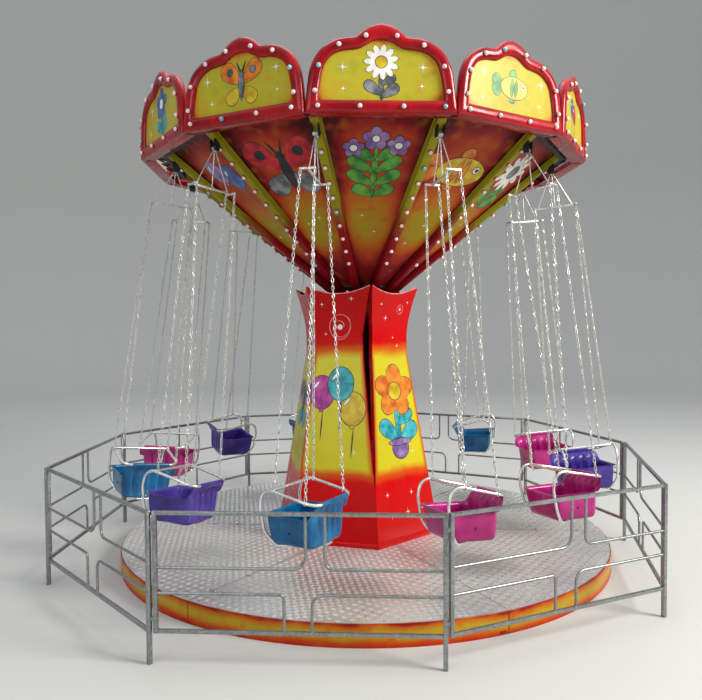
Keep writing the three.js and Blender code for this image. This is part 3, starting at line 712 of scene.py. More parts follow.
def tower_point(index, side, height, lift=0.0):
    """A point on a tower panel: side runs -1 to 1 across it, lift is out from its face."""
    share = (side + 1) / 2
    radius = tower_radius(height)
    width = 2 * radius * math.sin(math.pi / TOWER_SIDES)
    open_left, open_right = index == 0, index == TOWER_SIDES - 1
    low = ((1 - SEAM_SHARE_LEFT) * seam_width(height) if open_left else 0) / width + 0.0015
    high = 1 - (SEAM_SHARE_LEFT * seam_width(height) if open_right else 0) / width - 0.0015
    share = low + (high - low) * share
    first = TOWER_FIRST_CORNER + index * 360 / TOWER_SIDES
    a, b = polar(first, radius, height), polar(first + 360 / TOWER_SIDES, radius, height)
    middle = polar(first + 180 / TOWER_SIDES, lift, 0)
    return a.lerp(b, share) + middle + Vector(TOWER_PLACE)


def on_tower(index, side, height):
    """Matrix of a spot on a tower panel: X across it, Z up it, -Y out of it."""
    rise = (tower_point(index, side, height + 0.02) - tower_point(index, side, height - 0.02)).normalized()
    across = (tower_point(index, side + 0.1, height) - tower_point(index, side - 0.1, height)).normalized()
    inward = rise.cross(across).normalized()
    turned = Matrix((across, inward, across.cross(inward))).transposed().to_4x4()
    return Matrix.Translation(tower_point(index, side, height)) @ turned


def tower():
    columns = 10
    foot = [DECK_TOP + LEDGE_HEIGHT * share for share in (0.01, 0.6, 0.76, 0.88, 0.96, 0.995, 1.01)]
    levels = foot + [0.3, 0.45, 0.6, 0.69, 0.7, 0.72, 0.76, 0.85]
    levels += [0.95 + 0.07 * k for k in range(14)] + [WAIST_LOW + 0.045 * k for k in range(5)]
    flare = 10
    rows = len(levels) - 1 + flare
    for index in range(TOWER_SIDES):
        bm = bmesh.new()
        bmesh.ops.create_grid(bm, x_segments=columns, y_segments=rows, size=1)
        layer = bm.loops.layers.uv.new("metres")
        spots = {}
        for vert in bm.verts:
            side, row = vert.co.x, round((vert.co.y + 1) / 2 * rows)
            top = TIP_HEIGHT - SCALLOP * (1 - side**2)
            over = row - len(levels) + 1
            height = levels[row] if over <= 0 else WAIST_HIGH + (top - WAIST_HIGH) * over / flare
            spots[vert] = (side, height)
            vert.co = tower_point(index, side, height)
        for face in bm.faces:
            for loop in face.loops:
                loop[layer].uv = spots[loop.vert]
        bmesh.ops.recalc_face_normals(bm, faces=bm.faces)
        out = polar(TOWER_FIRST_CORNER + (index + 0.5) * 360 / TOWER_SIDES, 1, 0)
        if bm.faces[:][0].normal.dot(out) < 0:
            bmesh.ops.reverse_faces(bm, faces=bm.faces)
        bmesh.ops.solidify(bm, geom=bm.faces, thickness=CLADDING)
        number = index + 1
        solid = f"tower_panel_{number}"
        piece(f"tower_cladding_{number}", bm, [tower_paint], "base", [solid])

    # The mouldings' edges: returns along the open seam, the cut laminate along the scalloped tops
    bm = bmesh.new()
    heights = [SEAM_START + 0.02 + (TIP_HEIGHT - SEAM_START - 0.025) * k / 40 for k in range(41)]
    for index, edge in ((TOWER_SIDES - 1, 1), (0, -1)):
        lip = bmesh.new()
        bmesh.ops.create_grid(lip, x_segments=1, y_segments=40, size=1)
        for vert in lip.verts:
            depth = -0.045 if vert.co.x > 0 else -0.004
            vert.co = tower_point(index, edge, heights[round((vert.co.y + 1) * 20)], depth)
        bmesh.ops.solidify(lip, geom=lip.faces, thickness=0.003)
        bm.from_mesh(as_mesh(lip))
    strip = bmesh.new()
    bmesh.ops.create_grid(strip, x_segments=1, y_segments=10, size=1)
    for vert in strip.verts:
        index, edge = (TOWER_SIDES - 1, 1) if vert.co.x < 0 else (0, -1)
        vert.co = tower_point(index, edge, SEAM_START - 0.02 + 0.23 * (vert.co.y + 1), -0.03)
    bmesh.ops.solidify(strip, geom=strip.faces, thickness=0.003)
    bm.from_mesh(as_mesh(strip))
    for index in range(TOWER_SIDES):
        line = []
        for k in range(21):
            side = -0.99 + 0.099 * k
            line.append(tower_point(index, side, TIP_HEIGHT - SCALLOP * (1 - side**2) + 0.001, -0.005))
        stamp(bm, tube(line, 0.0062, 1), Matrix(), 1)
    bmesh.ops.recalc_face_normals(bm, faces=bm.faces)
    piece("tower_panel_edges", bm, [red_gelcoat, cut_edge], "base", sharp=30)


tower()


# Turning head
def arm_bottom(r):
    return ARM_INNER_Z + ARM_SLOPE * (r - ARM_INNER)


def on_arm(r, side=0.0, lift=0.0):
    """Matrix of a spot under the front arm: X across it, -Y out along it, Z up and square to it."""
    slope = Matrix.Rotation(-math.atan(ARM_SLOPE), 4, "X")
    return Matrix.Translation((side, -r, arm_bottom(r))) @ slope @ Matrix.Translation((0, 0, lift))


def head():
    half = ARM_WIDTH / 2
    bm = bmesh.new()
    span = (ARM_OUTER - ARM_INNER) * math.hypot(1, ARM_SLOPE)
    depth = ARM_DEPTH / math.hypot(1, ARM_SLOPE)
    further = (ARM_INNER - CONE_TIP) * math.hypot(1, ARM_SLOPE)
    beam = block((-half, -span, 0), (half, further, depth), 0.006)
    beam.transform(on_arm(ARM_INNER))
    ledge = block((-half - 0.012, -span + 0.05, depth - 0.008), (half + 0.012, -0.05, depth - 0.002), 0.002)
    ledge.transform(on_arm(ARM_INNER))
    for k in range(SEATS):
        stamp(bm, beam, at_arm(k))
        stamp(bm, ledge, at_arm(k))
    piece("arm_tubes", bm, [arm_paint], "head", ["arm_frame"])

    # A disc over the arms' inner ends, and the drum that stands on it
    low, reach = arm_bottom(CONE_TIP) + 0.066, CONE_TIP + 0.012
    disc = [(0.058, low), (reach - 0.006, low), (reach, low + 0.006), (reach, low + 0.02)]
    disc += [(reach - 0.006, low + 0.026), (0.17, low + 0.026), (0.16, low + 0.036)]
    drum = [(0.16, HUB_TOP - 0.006), (0.154, HUB_TOP), (0.058, HUB_TOP), (0.058, low)]
    bm = spun(disc + drum, 96)
    bolt = bmesh.new()
    bmesh.ops.create_cone(bolt, segments=6, radius1=0.012, radius2=0.012, depth=0.012, cap_ends=True)
    bolt = as_mesh(bolt)
    for k in range(24):
        stamp(bm, bolt, Matrix.Translation(polar(15 * k, 0.135, HUB_TOP + 0.005)), 1)
    piece("hub_drum", bm, [dark_steel, galvanised], "head", sharp=30)

    bm = bmesh.new()
    low, high = RIM_HEIGHT, RIM_HEIGHT + 0.06
    inside, outside = ARM_OUTER - 0.022, ARM_OUTER + 0.022
    square = [(inside, low), (outside, low), (outside, high), (inside, high), (inside, low)]
    bm.from_mesh(as_mesh(spun(square, SEATS, FIRST_ARM)))
    turn = math.pi / SEATS
    stub_end = (RIM_RADIUS * math.cos(turn) - FRAME_RADIUS - 0.0003 - 0.02 * math.sin(turn)) / math.cos(turn)
    stub = block((-0.02, -stub_end, RIM_HEIGHT + 0.004), (0.02, -ARM_OUTER + 0.03, RIM_HEIGHT + 0.037), 0.003)
    cheek_foot = (-0.004, -PIVOT_RADIUS - 0.026, PIVOT_HEIGHT - 0.024)
    cheek_head = (0.004, -PIVOT_RADIUS + 0.026, arm_bottom(PIVOT_RADIUS) + 0.01)
    cheek = block(cheek_foot, cheek_head, 0.0015)
    pin = tube([(-0.038, -PIVOT_RADIUS, PIVOT_HEIGHT), (0.038, -PIVOT_RADIUS, PIVOT_HEIGHT)], 0.009)
    pin_head = tube([(0.0325, -PIVOT_RADIUS, PIVOT_HEIGHT), (0.0415, -PIVOT_RADIUS, PIVOT_HEIGHT)], 0.014, 1)
    far = RIM_RADIUS * math.cos(turn) - FRAME_RADIUS - 0.012
    near = (ARM_OUTER + 0.018) * math.cos(turn)
    for k in range(SEATS):
        at = at_arm(k)
        stamp(bm, stub, at)
        stamp(bm, cheek, at @ Matrix.Translation((-0.028, 0, 0)))
        stamp(bm, cheek, at @ Matrix.Translation((0.028, 0, 0)))
        stamp(bm, pin, at)
        stamp(bm, pin_head, at)
        # Struts in a zigzag between the ring and the boards
        for n in range(-4, 4):
            ends = [(near, 0.004), (far, 0.05)] if n % 2 else [(far, 0.05), (near, 0.004)]
            strut = [((n + m) * 0.11, -out, RIM_HEIGHT + rise) for m, (out, rise) in enumerate(ends)]
            stamp(bm, tube(strut, 0.008, 1), at_arm(k + 0.5))
    piece("rim_ring_and_brackets", bm, [dark_steel], "head", sharp=30)

    bm = bmesh.new()
    bm.loops.layers.uv.new("metres")
    for k in range(SEATS):
        grid = bmesh.new()
        bmesh.ops.create_grid(grid, x_segments=6, y_segments=10, size=1)
        uv = grid.loops.layers.uv.new("metres")
        wide = math.tan(turn)
        first = (CONE_TIP - SKIN_INNER) / (SKIN_OUTER - SKIN_INNER)
        spots = {}
        for vert in grid.verts:
            side, along = vert.co.x, first + (1 - first) * (vert.co.y + 1) / 2
            out = SKIN_INNER + (SKIN_OUTER - SKIN_INNER) * along
            r = out * math.cos(turn)
            spots[vert] = (side, along)
            vert.co = (side * r * wide, -r, arm_bottom(out) + SKIN_RISE)
        for face in grid.faces:
            for loop in face.loops:
                loop[uv].uv = spots[loop.vert]
        bmesh.ops.recalc_face_normals(grid, faces=grid.faces)
        if grid.faces[:][0].normal.z > 0:
            bmesh.ops.reverse_faces(grid, faces=grid.faces)
        bmesh.ops.solidify(grid, geom=grid.faces, thickness=0.008)
        grid.normal_update()
        for face in grid.faces:
            face.material_index = 1 if face.normal.z > 0.3 else 0
        shape = as_mesh(grid)
        shape.transform(at_arm(k + 0.5))
        bm.from_mesh(shape)
    piece("underside_panels", bm, [panel_paint_and_shade, flow_coat], "head",
        ["underside_skin"], sharp=20)


head()


# Crown boards: half outlines as (sideways, height above the rim)
OUTER_SIDE = [(0.543, -0.045), (0.541, 0.0), (0.535, 0.06), (0.524, 0.165), (0.507, 0.264),
    (0.471, 0.348), (0.425, 0.407), (0.345, 0.46), (0.277, 0.482), (0.19, 0.489)]
OUTER_TOP = [(0.172, 0.496), (0.138, 0.527), (0.078, 0.567), (0.0, 0.585)]
INNER_SIDE = [(0.444, 0.05), (0.437, 0.125), (0.422, 0.215), (0.397, 0.3), (0.347, 0.358),
    (0.276, 0.39), (0.19, 0.4)]
INNER_TOP = [(0.15, 0.407), (0.107, 0.432), (0.05, 0.463), (0.0, 0.47)]
LAMPS = [(0.11, 0.487), (0.3, 0.424), (0.443, 0.278), (0.472, 0.103), (0.452, 0.0), (0.155, 0.0)]
AQUA_ON_BOARD = {0: (0,), 10: (5, 10), 11: (4, 9)}
AQUA_ON_ARM = {0: 7, 11: 4}
BOARD_FACE = RIM_RADIUS * math.cos(math.pi / SEATS)


def outline(side, top, count):
    """The whole outline from the foot at the right over the peak to the left, evenly stepped."""
    half = smooth_line(side, 6) + smooth_line(top, 5)
    whole = half + [(-x, y) for x, y in reversed(half[:-1])]
    lengths = [0.0]
    for (ax, ay), (bx, by) in zip(whole, whole[1:]):
        lengths.append(lengths[-1] + math.hypot(bx - ax, by - ay))
    even, at = [], 0
    for k in range(count):
        goal = lengths[-1] * k / (count - 1)
        while at < len(whole) - 2 and lengths[at + 1] < goal:
            at += 1
        share = (goal - lengths[at]) / max(lengths[at + 1] - lengths[at], 1e-9)
        share = min(max(share, 0), 1)
        a, b = whole[at], whole[at + 1]
        even.append((a[0] + (b[0] - a[0]) * share, a[1] + (b[1] - a[1]) * share))
    return even


def lamp_shape():
    """One lamp: a domed cap 35 mm across and its collar."""
    cap = bmesh.new()
    bmesh.ops.create_uvsphere(cap, u_segments=10, v_segments=7, radius=0.0175)
    bmesh.ops.translate(cap, verts=cap.verts, vec=(0, 0, 0.012))
    low = [v for v in cap.verts if v.co.z < -0.001]
    bmesh.ops.delete(cap, geom=low, context="VERTS")
    collar = bmesh.new()
    bmesh.ops.create_cone(collar, segments=12, radius1=0.0205, radius2=0.0185, depth=0.012, cap_ends=True)
    bmesh.ops.translate(collar, verts=collar.verts, vec=(0, 0, 0.004))
    return as_mesh(cap), as_mesh(collar)


lamp_cap, lamp_collar = lamp_shape()


def crown():
    points = 65
    outer = outline(OUTER_SIDE, OUTER_TOP, points)
    inner = outline(INNER_SIDE, INNER_TOP, points)
    foot = [(-0.5 + k / 12, -0.045) for k in range(13)]
    foot_in = [(-0.4 + 0.8 * k / 12, 0.05) for k in range(13)]
    outer, inner = outer + foot, inner + foot_in
    steps = 14
    loops = []
    for k in range(steps):
        angle = 2 * math.pi * k / steps
        share = 0.5 - 0.5 * math.cos(angle)
        depth = FRAME_RADIUS * 0.99 * math.copysign(abs(math.sin(angle)) ** 0.6, math.sin(angle))
        loops.append([
            Vector((ax + (bx - ax) * share, -BOARD_FACE - depth, RIM_HEIGHT + ay + (by - ay) * share))
            for (ax, ay), (bx, by) in zip(outer, inner)
        ])
    moulding = as_mesh(skin(loops + [loops[0]]))
    flange_under = (-0.505, -BOARD_FACE, RIM_HEIGHT - 0.043)
    flange_over = (0.505, -BOARD_FACE + 0.095, RIM_HEIGHT - 0.037)
    flange = block(flange_under, flange_over, 0.002)
    bm = bmesh.new()
    for k in range(SEATS):
        stamp(bm, moulding, at_arm(k + 0.5))
        stamp(bm, flange, at_arm(k + 0.5))
    piece("crown_mouldings", bm, [red_gelcoat], "head", ["crown_boards"], sharp=50)

    web = bmesh.new()
    uv = web.loops.layers.uv.new("metres")
    edge = [((a[0] + b[0]) / 2, (a[1] + b[1]) / 2) for a, b in zip(outer, inner)]
    front = -BOARD_FACE - BOARD_THICKNESS / 2
    verts = [web.verts.new((x, front, RIM_HEIGHT + z)) for x, z in edge]
    face = web.faces.new(verts)
    face.normal_update()
    if face.normal.y > 0:
        face.normal_flip()
    bmesh.ops.inset_region(web, faces=[face], thickness=0.05, use_even_offset=True)
    bmesh.ops.triangulate(web, faces=[f for f in web.faces if len(f.verts) > 4])
    for part in web.faces:
        for loop in part.loops:
            loop[uv].uv = (loop.vert.co.x, loop.vert.co.z - RIM_HEIGHT)
    faces = web.faces[:]
    made = bmesh.ops.extrude_face_region(web, geom=faces)
    moved = [v for v in made["geom"] if isinstance(v, bmesh.types.BMVert)]
    bmesh.ops.translate(web, verts=moved, vec=(0, BOARD_THICKNESS, 0))
    bmesh.ops.recalc_face_normals(web, faces=web.faces)
    for part in web.faces:
        part.material_index = 1 if part.normal.y > 0.5 else 0
    web = as_mesh(web)
    bm = bmesh.new()
    for k in range(SEATS):
        stamp(bm, web, at_arm(k + 0.5))
    piece("crown_boards_painted", bm, [crown_paint, flow_coat], "head", sharp=30)

    bm = bmesh.new()
    upright = Matrix.Rotation(math.radians(90), 4, "X")
    for k in range(SEATS):
        at = at_arm(k + 0.5)
        for n, (x, z) in enumerate([(s * x, z) for x, z in LAMPS for s in (-1, 1)]):
            spot = at @ Matrix.Translation((x, -BOARD_FACE - FRAME_RADIUS + 0.004, RIM_HEIGHT + z)) @ upright
            stamp(bm, lamp_collar, spot, 0)
            stamp(bm, lamp_cap, spot, 2 if n in AQUA_ON_BOARD.get(k, (k % 5 + 2,)) else 1)
    for k in range(SEATS):
        at = at_arm(k)
        for n in range(10):
            spot = at @ on_arm(0.655 + 0.121 * n) @ Matrix.Rotation(math.pi, 4, "X")
            stamp(bm, lamp_collar, spot, 0)
            stamp(bm, lamp_cap, spot, 2 if n == AQUA_ON_ARM.get(k, 3 * k % 10) else 1)
    piece("lamp_caps", bm, [red_gelcoat, *lamp_finish], "head", sharp=50)


crown()


# Painted motifs: plain flowers, balloons, butterflies and fish in thin raised paint
def unit_shape(kind):
    """A flat shape in the XZ plane, one unit from its middle to each side and one unit thick.
    A lobe starts at its root and runs one unit out."""
    steps = {"star": 16, "petals": 30, "daisy": 44}.get(kind, 18)
    bm = bmesh.new()
    verts = []
    for k in range(steps):
        a = math.tau * k / steps
        x, z = math.cos(a), math.sin(a)
        if kind == "petals":
            x, z = (c * (0.66 + 0.34 * abs(math.cos(2.5 * a))) for c in (x, z))
        elif kind == "daisy":
            x, z = (c * (0.6 + 0.4 * abs(math.cos(5.5 * a))) for c in (x, z))
        elif kind == "star":
            x, z = (c * (0.14 + 0.86 * abs(math.cos(2 * a)) ** 9) for c in (x, z))
        elif kind == "leaf":
            z *= abs(z)
        elif kind == "lobe":
            x, z = 0.5 + 0.5 * x, z * (0.35 + 0.65 * (0.5 + 0.5 * x)) * 0.5
        verts.append(bm.verts.new((x, 0, z)))
    face = bm.faces.new(verts)
    made = bmesh.ops.extrude_face_region(bm, geom=[face])
    moved = [v for v in made["geom"] if isinstance(v, bmesh.types.BMVert)]
    bmesh.ops.translate(bm, verts=moved, vec=(0, -1, 0))
    bmesh.ops.recalc_face_normals(bm, faces=bm.faces)
    return as_mesh(bm)


UNIT = {kind: unit_shape(kind) for kind in ("disc", "petals", "daisy", "star", "leaf", "lobe")}
PAINTS = list(paint)


def balloon(code, x, z):
    """A balloon on its string, with a highlight."""
    return [
        ("leaf", "outline", x + 0.008, z - 0.37, 0.18, 0.006, 87),
        ("disc", code, x, z, 0.15, 0.19, 0),
        ("petals", code, x, z - 0.2, 0.028, 0.022, 18),
        ("leaf", "white", x - 0.07, z + 0.08, 0.055, 0.016, 52),
    ]


def butterfly(wing, hem, body):
    """A butterfly with its wings spread."""
    parts = []
    for turn, flip in ((42, 1), (138, -1)):
        parts += [
            ("lobe", wing, 0.02 * flip, 0.03, 0.52, 0.44, turn),
            ("lobe", hem, 0.02 * flip, -0.04, 0.38, 0.36, -turn),
            ("disc", body, 0.25 * flip, 0.25, 0.06, 0.06, 0),
            ("leaf", "outline", 0.05 * flip, 0.3, 0.14, 0.014, 90 - 22 * flip),
        ]
    return parts + [("leaf", body, 0, 0.0, 0.28, 0.06, 90), ("disc", body, 0, 0.2, 0.05, 0.05, 0)]


def flower(blossom, code, heart, green):
    """A tall flower with three leaves."""
    return [
        ("leaf", green, 0, -0.16, 0.34, 0.04, 90),
        ("lobe", green, 0, -0.4, 0.36, 0.26, 35),
        ("lobe", green, 0, -0.36, 0.36, 0.26, 142),
        ("lobe", green, 0, -0.18, 0.28, 0.2, 30),
        (blossom, code, 0, 0.2, 0.31, 0.31, 14),
        ("disc", heart, 0, 0.2, 0.1, 0.1, 0),
    ]


def fish(body, fin):
    """A fish with a spread tail."""
    return [
        ("lobe", fin, -0.22, 0.02, 0.28, 0.3, 155),
        ("lobe", fin, -0.22, 0.0, 0.28, 0.3, 205),
        ("lobe", fin, 0.1, 0.1, 0.24, 0.24, 115),
        ("lobe", fin, 0.04, -0.1, 0.18, 0.2, 250),
        ("disc", body, 0.06, 0, 0.34, 0.2, 0),
        ("leaf", fin, 0.1, 0, 0.17, 0.04, 84),
        ("leaf", fin, 0.0, 0, 0.18, 0.04, 84),
        ("disc", "white", 0.27, 0.05, 0.045, 0.045, 0),
        ("disc", "outline", 0.28, 0.05, 0.02, 0.02, 0),
    ]


def sprig(leaf, blossom):
    """A leafy sprig with three blossoms."""
    parts = [("leaf", leaf, 0, -0.1, 0.42, 0.035, 88)]
    for z, reach in ((-0.42, 0.26), (-0.26, 0.34), (-0.08, 0.34), (0.08, 0.26)):
        parts += [("lobe", leaf, 0.01, z, reach, 0.2, 34), ("lobe", leaf, -0.01, z, reach, 0.2, 146)]
    for x, z, size in ((0.0, 0.36, 0.15), (-0.24, 0.24, 0.12), (0.25, 0.27, 0.13)):
        parts += [("petals", blossom, x, z, size, size, 18), ("disc", "white", x, z, 0.04, 0.04, 0)]
    return parts


BALLOONS = balloon("magenta", -0.2, 0.2) + balloon("gold", 0.17, 0.02) + balloon("teal", 0.02, 0.3)
POT = [("disc", "lilac", 0, -0.45, 0.13, 0.12, 0), ("disc", "lilac", 0, -0.38, 0.18, 0.035, 0)]
ON_BOARDS = {
    10: butterfly("orange", "gold", "smoke"),
    11: flower("daisy", "white", "gold", "smoke"),
    0: fish("gold", "green"),
    1: balloon("blue", -0.1, 0.16) + balloon("crimson", 0.12, 0.08),
    9: flower("petals", "blue", "white", "teal"),
}
ON_PANELS = {
    11: sprig("green", "lilac"),
    10: butterfly("crimson", "smoke", "outline"),
    0: fish("gold", "orange"),
    1: flower("daisy", "white", "smoke", "green"),
    9: balloon("lilac", -0.12, 0.2) + balloon("blue", 0.14, 0.06),
}
ON_TOWER = {
    5: BALLOONS,
    0: flower("petals", "orange", "gold", "teal") + POT,
    4: butterfly("lilac", "teal", "outline"),
    1: fish("teal", "magenta"),
    2: sprig("teal", "magenta"),
    3: BALLOONS,
}


def paint_on(bm, at, parts, size, rim=0.007):
    """Paints a motif on a face: X runs across the face, Z up it and -Y out of it. Every part is
    laid over the last one, on a dark outline of its own."""
    lift = 0.0009
    for kind, code, x, z, wide, tall, turn in parts:
        turned = Matrix.Rotation(math.radians(-turn), 4, "Y")
        spot = at @ Matrix.Translation((x * size, 0.0004, z * size)) @ turned
        edge = min(rim, 0.3 * tall * size)
        ends = 2 if kind == "lobe" else 1
        for colour_name, grow in (("outline", edge), (code, 0.0)):
            under = spot @ Matrix.Translation((-grow if kind == "lobe" else 0, 0, 0))
            reach = (wide * size + grow * ends, lift, tall * size + grow * ends, 1)
            stamp(bm, UNIT[kind], under @ Matrix.Diagonal(reach), PAINTS.index(colour_name))
            lift += 0.0001


def sparkle(bm, at, size):
    """A white four-rayed glint."""
    for kind, share, lift in (("star", 1.0, 0.0012), ("disc", 0.26, 0.0016)):
        reach = Matrix.Diagonal((share * size, lift, share * size, 1))
        stamp(bm, UNIT[kind], at @ reach, PAINTS.index("white"))


def under_canopy(k, side, along):
    """Matrix of a spot under a canopy panel: side is in metres, along runs from the hub to the rim."""
    out = SKIN_INNER + (SKIN_OUTER - SKIN_INNER) * along
    turn = math.pi / SEATS
    steep = math.atan(ARM_SLOPE / math.cos(turn))
    spot = Matrix.Translation((side, -out * math.cos(turn), arm_bottom(out) + SKIN_RISE))
    return at_arm(k + 0.5) @ spot @ Matrix.Rotation(math.pi / 2 - steep, 4, "X")


def motifs():
    bm = bmesh.new()
    middle = Matrix.Translation((0, -BOARD_FACE - BOARD_THICKNESS / 2, RIM_HEIGHT + 0.235))
    boards, panels = list(ON_BOARDS), list(ON_PANELS)
    for k in range(SEATS):
        face = at_arm(k + 0.5) @ middle
        paint_on(bm, face, ON_BOARDS.get(k) or ON_BOARDS[boards[k % 5]], 0.41, 0.005)
        paint_on(bm, under_canopy(k, 0, 0.69), ON_PANELS.get(k) or ON_PANELS[panels[k % 5]], 0.72)
        for side in (-1, 1):
            for n in range(2):
                x, z = side * draw.uniform(0.24, 0.33), 0.09 - 0.16 * n + draw.uniform(-0.05, 0.0)
                sparkle(bm, face @ Matrix.Translation((x, 0, z)), 0.045 - 0.018 * n)
            along = draw.uniform(0.2, 0.4)
            sparkle(bm, under_canopy(k, side * draw.uniform(0.02, 0.1), along), draw.uniform(0.02, 0.03))
    piece("canopy_motifs", bm, list(paint.values()), "head", sharp=30)

    bm = bmesh.new()
    for index in range(TOWER_SIDES):
        paint_on(bm, on_tower(index, 0.02, 1.4), ON_TOWER[index], 0.84 if index in (0, 3, 5) else 0.58)
        left = index in (5, 3, 1)
        spots = [(-0.6, 2.4), (0.45, 2.45), (-0.55, 2.12), (0.5, 1.02), (0.1, 0.9)] if left else [
            (-0.55, 2.4), (-0.3, 2.27), (0.72, 2.42), (0.15, 2.08), (0.4, 2.0), (-0.6, 0.62), (0.25, 0.6),
            (-0.5, 0.42), (0.05, 0.43), (0.5, 0.98), (-0.3, 0.9)]
        for side, height in spots:
            sparkle(bm, on_tower(index, side, height), draw.uniform(0.016, 0.036))
        side, height, reach = (0.06, 2.185, 0.118) if left else (0.4, 2.35, 0.045)
        swirl = []
        for n in range(49):
            a, r = n * math.tau / 24, reach * (0.35 + 0.65 * min(1, n / 26))
            sideways = r * math.cos(a) / (tower_radius(height) * 0.5)
            swirl.append(tower_point(index, side + sideways, height + r * math.sin(a), 0.0006))
        stamp(bm, tube(swirl, 0.004 if left else 0.0026, 1), Matrix(), PAINTS.index("pink_haze"))
        heart = on_tower(index, side, height) @ Matrix.Diagonal((reach * 0.22, 0.0014, reach * 0.22, 1))
        stamp(bm, UNIT["disc"], heart, PAINTS.index("white"))
    piece("tower_motifs", bm, list(paint.values()), "base", sharp=30)


motifs()


# Hangers and seats
def chain_link():
    """A 45 mm link of 6 mm wire that lies along Z."""
    bm = bmesh.new()
    section = Matrix.Translation((0.0084, 0, 0)) @ Matrix.Rotation(math.pi / 2, 4, "X")
    bmesh.ops.create_circle(bm, segments=5, radius=0.003, matrix=section)
    bmesh.ops.spin(bm, geom=bm.verts[:] + bm.edges[:], cent=(0, 0, 0), axis=(0, 0, 1),
        angle=math.tau, steps=10, use_merge=True)
    bmesh.ops.remove_doubles(bm, verts=bm.verts, dist=1e-6)
    bmesh.ops.rotate(bm, verts=bm.verts, cent=(0, 0, 0), matrix=Matrix.Rotation(math.pi / 2, 3, "X"))
    for vert in bm.verts:
        vert.co.z += math.copysign(0.011, vert.co.z) if abs(vert.co.z) > 1e-6 else 0
    bmesh.ops.recalc_face_normals(bm, faces=bm.faces)
    return as_mesh(bm)


def ring_shape(radius, wire):
    """A round ring in the YZ plane."""
    path = [(0, radius * math.cos(a), radius * math.sin(a)) for a in (math.tau * k / 16 for k in range(16))]
    return tube(path, wire, 1, cyclic=True)


LINK = chain_link()
LINK_PITCH = 0.03
EYE = ring_shape(0.0155, 0.0035)


def along(a, b):
    """Matrix with its origin at a and Z towards b."""
    return Matrix.Translation(a) @ (b - a).to_track_quat("Z", "X").to_matrix().to_4x4()


def hang_chain(bm, top, foot, twist):
    """Links from top to foot, each a quarter turn on from the last."""
    way = along(top, foot)
    length = (foot - top).length
    count = round(length / LINK_PITCH)
    pitch = length / count
    for k in range(count):
        turn = Matrix.Rotation(twist + math.pi / 2 * k + draw.uniform(-0.16, 0.16), 4, "Z")
        stamp(bm, LINK, way @ Matrix.Translation((0, 0, pitch * (k + 0.5))) @ turn)


def rail_height(x):
    return x * math.tan(RAIL_PITCH)


def floor_height(x):
    return BUCKET_FLOOR + FLOOR_RISE * x


def seat_tubes():
    """The tube frame of one seat about the middle of its hooks, facing +X."""
    runner = -SEAT_TUBE - 0.0004
    one = [
        (CROSS_TUBE_X, 0.05, floor_height(CROSS_TUBE_X) + runner),
        (0.165, 0.18, floor_height(0.165) + runner),
        (0.229, 0.234, -0.262),
        (0.25, 0.243, -0.09),
        (0.218, RAIL_HALF, rail_height(0.218)),
        (BACK_TUBE_X, RAIL_HALF, rail_height(BACK_TUBE_X)),
    ]
    other = [(x, -y, z) for x, y, z in reversed(one)]
    bends = [0.05, 0.13, 0.16, 0.088, 0.09, 0.09, 0.088, 0.16, 0.13, 0.05]
    bm = bmesh.new()
    bm.from_mesh(tube(bent(one + other, bends), SEAT_TUBE))
    front = (HOOK_AHEAD, 0.246, rail_height(HOOK_AHEAD))
    bm.from_mesh(tube([front, (front[0], -front[1], front[2])], SEAT_TUBE))
    low = floor_height(CROSS_TUBE_X) + runner
    bm.from_mesh(tube([(CROSS_TUBE_X, 0.07, low), (CROSS_TUBE_X, -0.07, low)], SEAT_TUBE))
    pitch = Matrix.Rotation(-RAIL_PITCH, 4, "Y")
    for end in (-1, 1):
        for side in (-1, 1):
            x = end * HOOK_AHEAD
            clear = end * 0.02 if end > 0 else 0
            spot = Matrix.Translation((x - clear, side * RAIL_HALF, rail_height(x - clear))) @ pitch
            stamp(bm, EYE, spot)
    bolt = bmesh.new()
    bmesh.ops.create_uvsphere(bolt, u_segments=10, v_segments=6, radius=0.009)
    bolt = as_mesh(bolt)
    for side in (-1, 1):
        stamp(bm, bolt, Matrix.Translation((0.226, side * 0.222, -0.165)))
        stamp(bm, bolt, Matrix.Translation((0.03, side * 0.214, -0.262)), 1)
    return as_mesh(bm)


def bucket_ring(front, back, half, bend, height_at, back_height, flute=0.0):
    """One level of the bucket: a rounded rectangle that may be fluted along its back."""
    path = []
    tight = 0.72 * bend

    def corner(cx, cy, start, count, bend):
        for j in range(count):
            angle = math.radians(start + 90 * j / (count - 1))
            x = cx + bend * math.cos(angle)
            away = max(0.0, -math.cos(angle))
            share = away * away * (3 - 2 * away)
            path.append((x, cy + bend * math.sin(angle), height_at(x) + (back_height - height_at(x)) * share))

    corner(front - tight, half - tight, 0, 6, tight)
    for k in range(1, 6):
        x = front - tight + (back + bend - front + tight) * k / 6
        path.append((x, half, height_at(x)))
    corner(back + bend, half - bend, 90, 8, bend)
    count = 24
    width = half - bend
    for k in range(1, count):
        y = width * (1 - 2 * k / count)
        groove = flute * (0.5 - 0.5 * math.cos(math.tau * 4 * k / count)) ** 2
        path.append((back + groove, y, back_height))
    corner(back + bend, bend - half, 180, 8, bend)
    for k in range(1, 6):
        x = back + bend + (front - tight - back - bend) * k / 6
        path.append((x, -half, height_at(x)))
    corner(front - tight, tight - half, 270, 6, tight)
    for k in range(1, 8):
        path.append((front, (tight - half) * (1 - k / 4), height_at(front)))
    return path


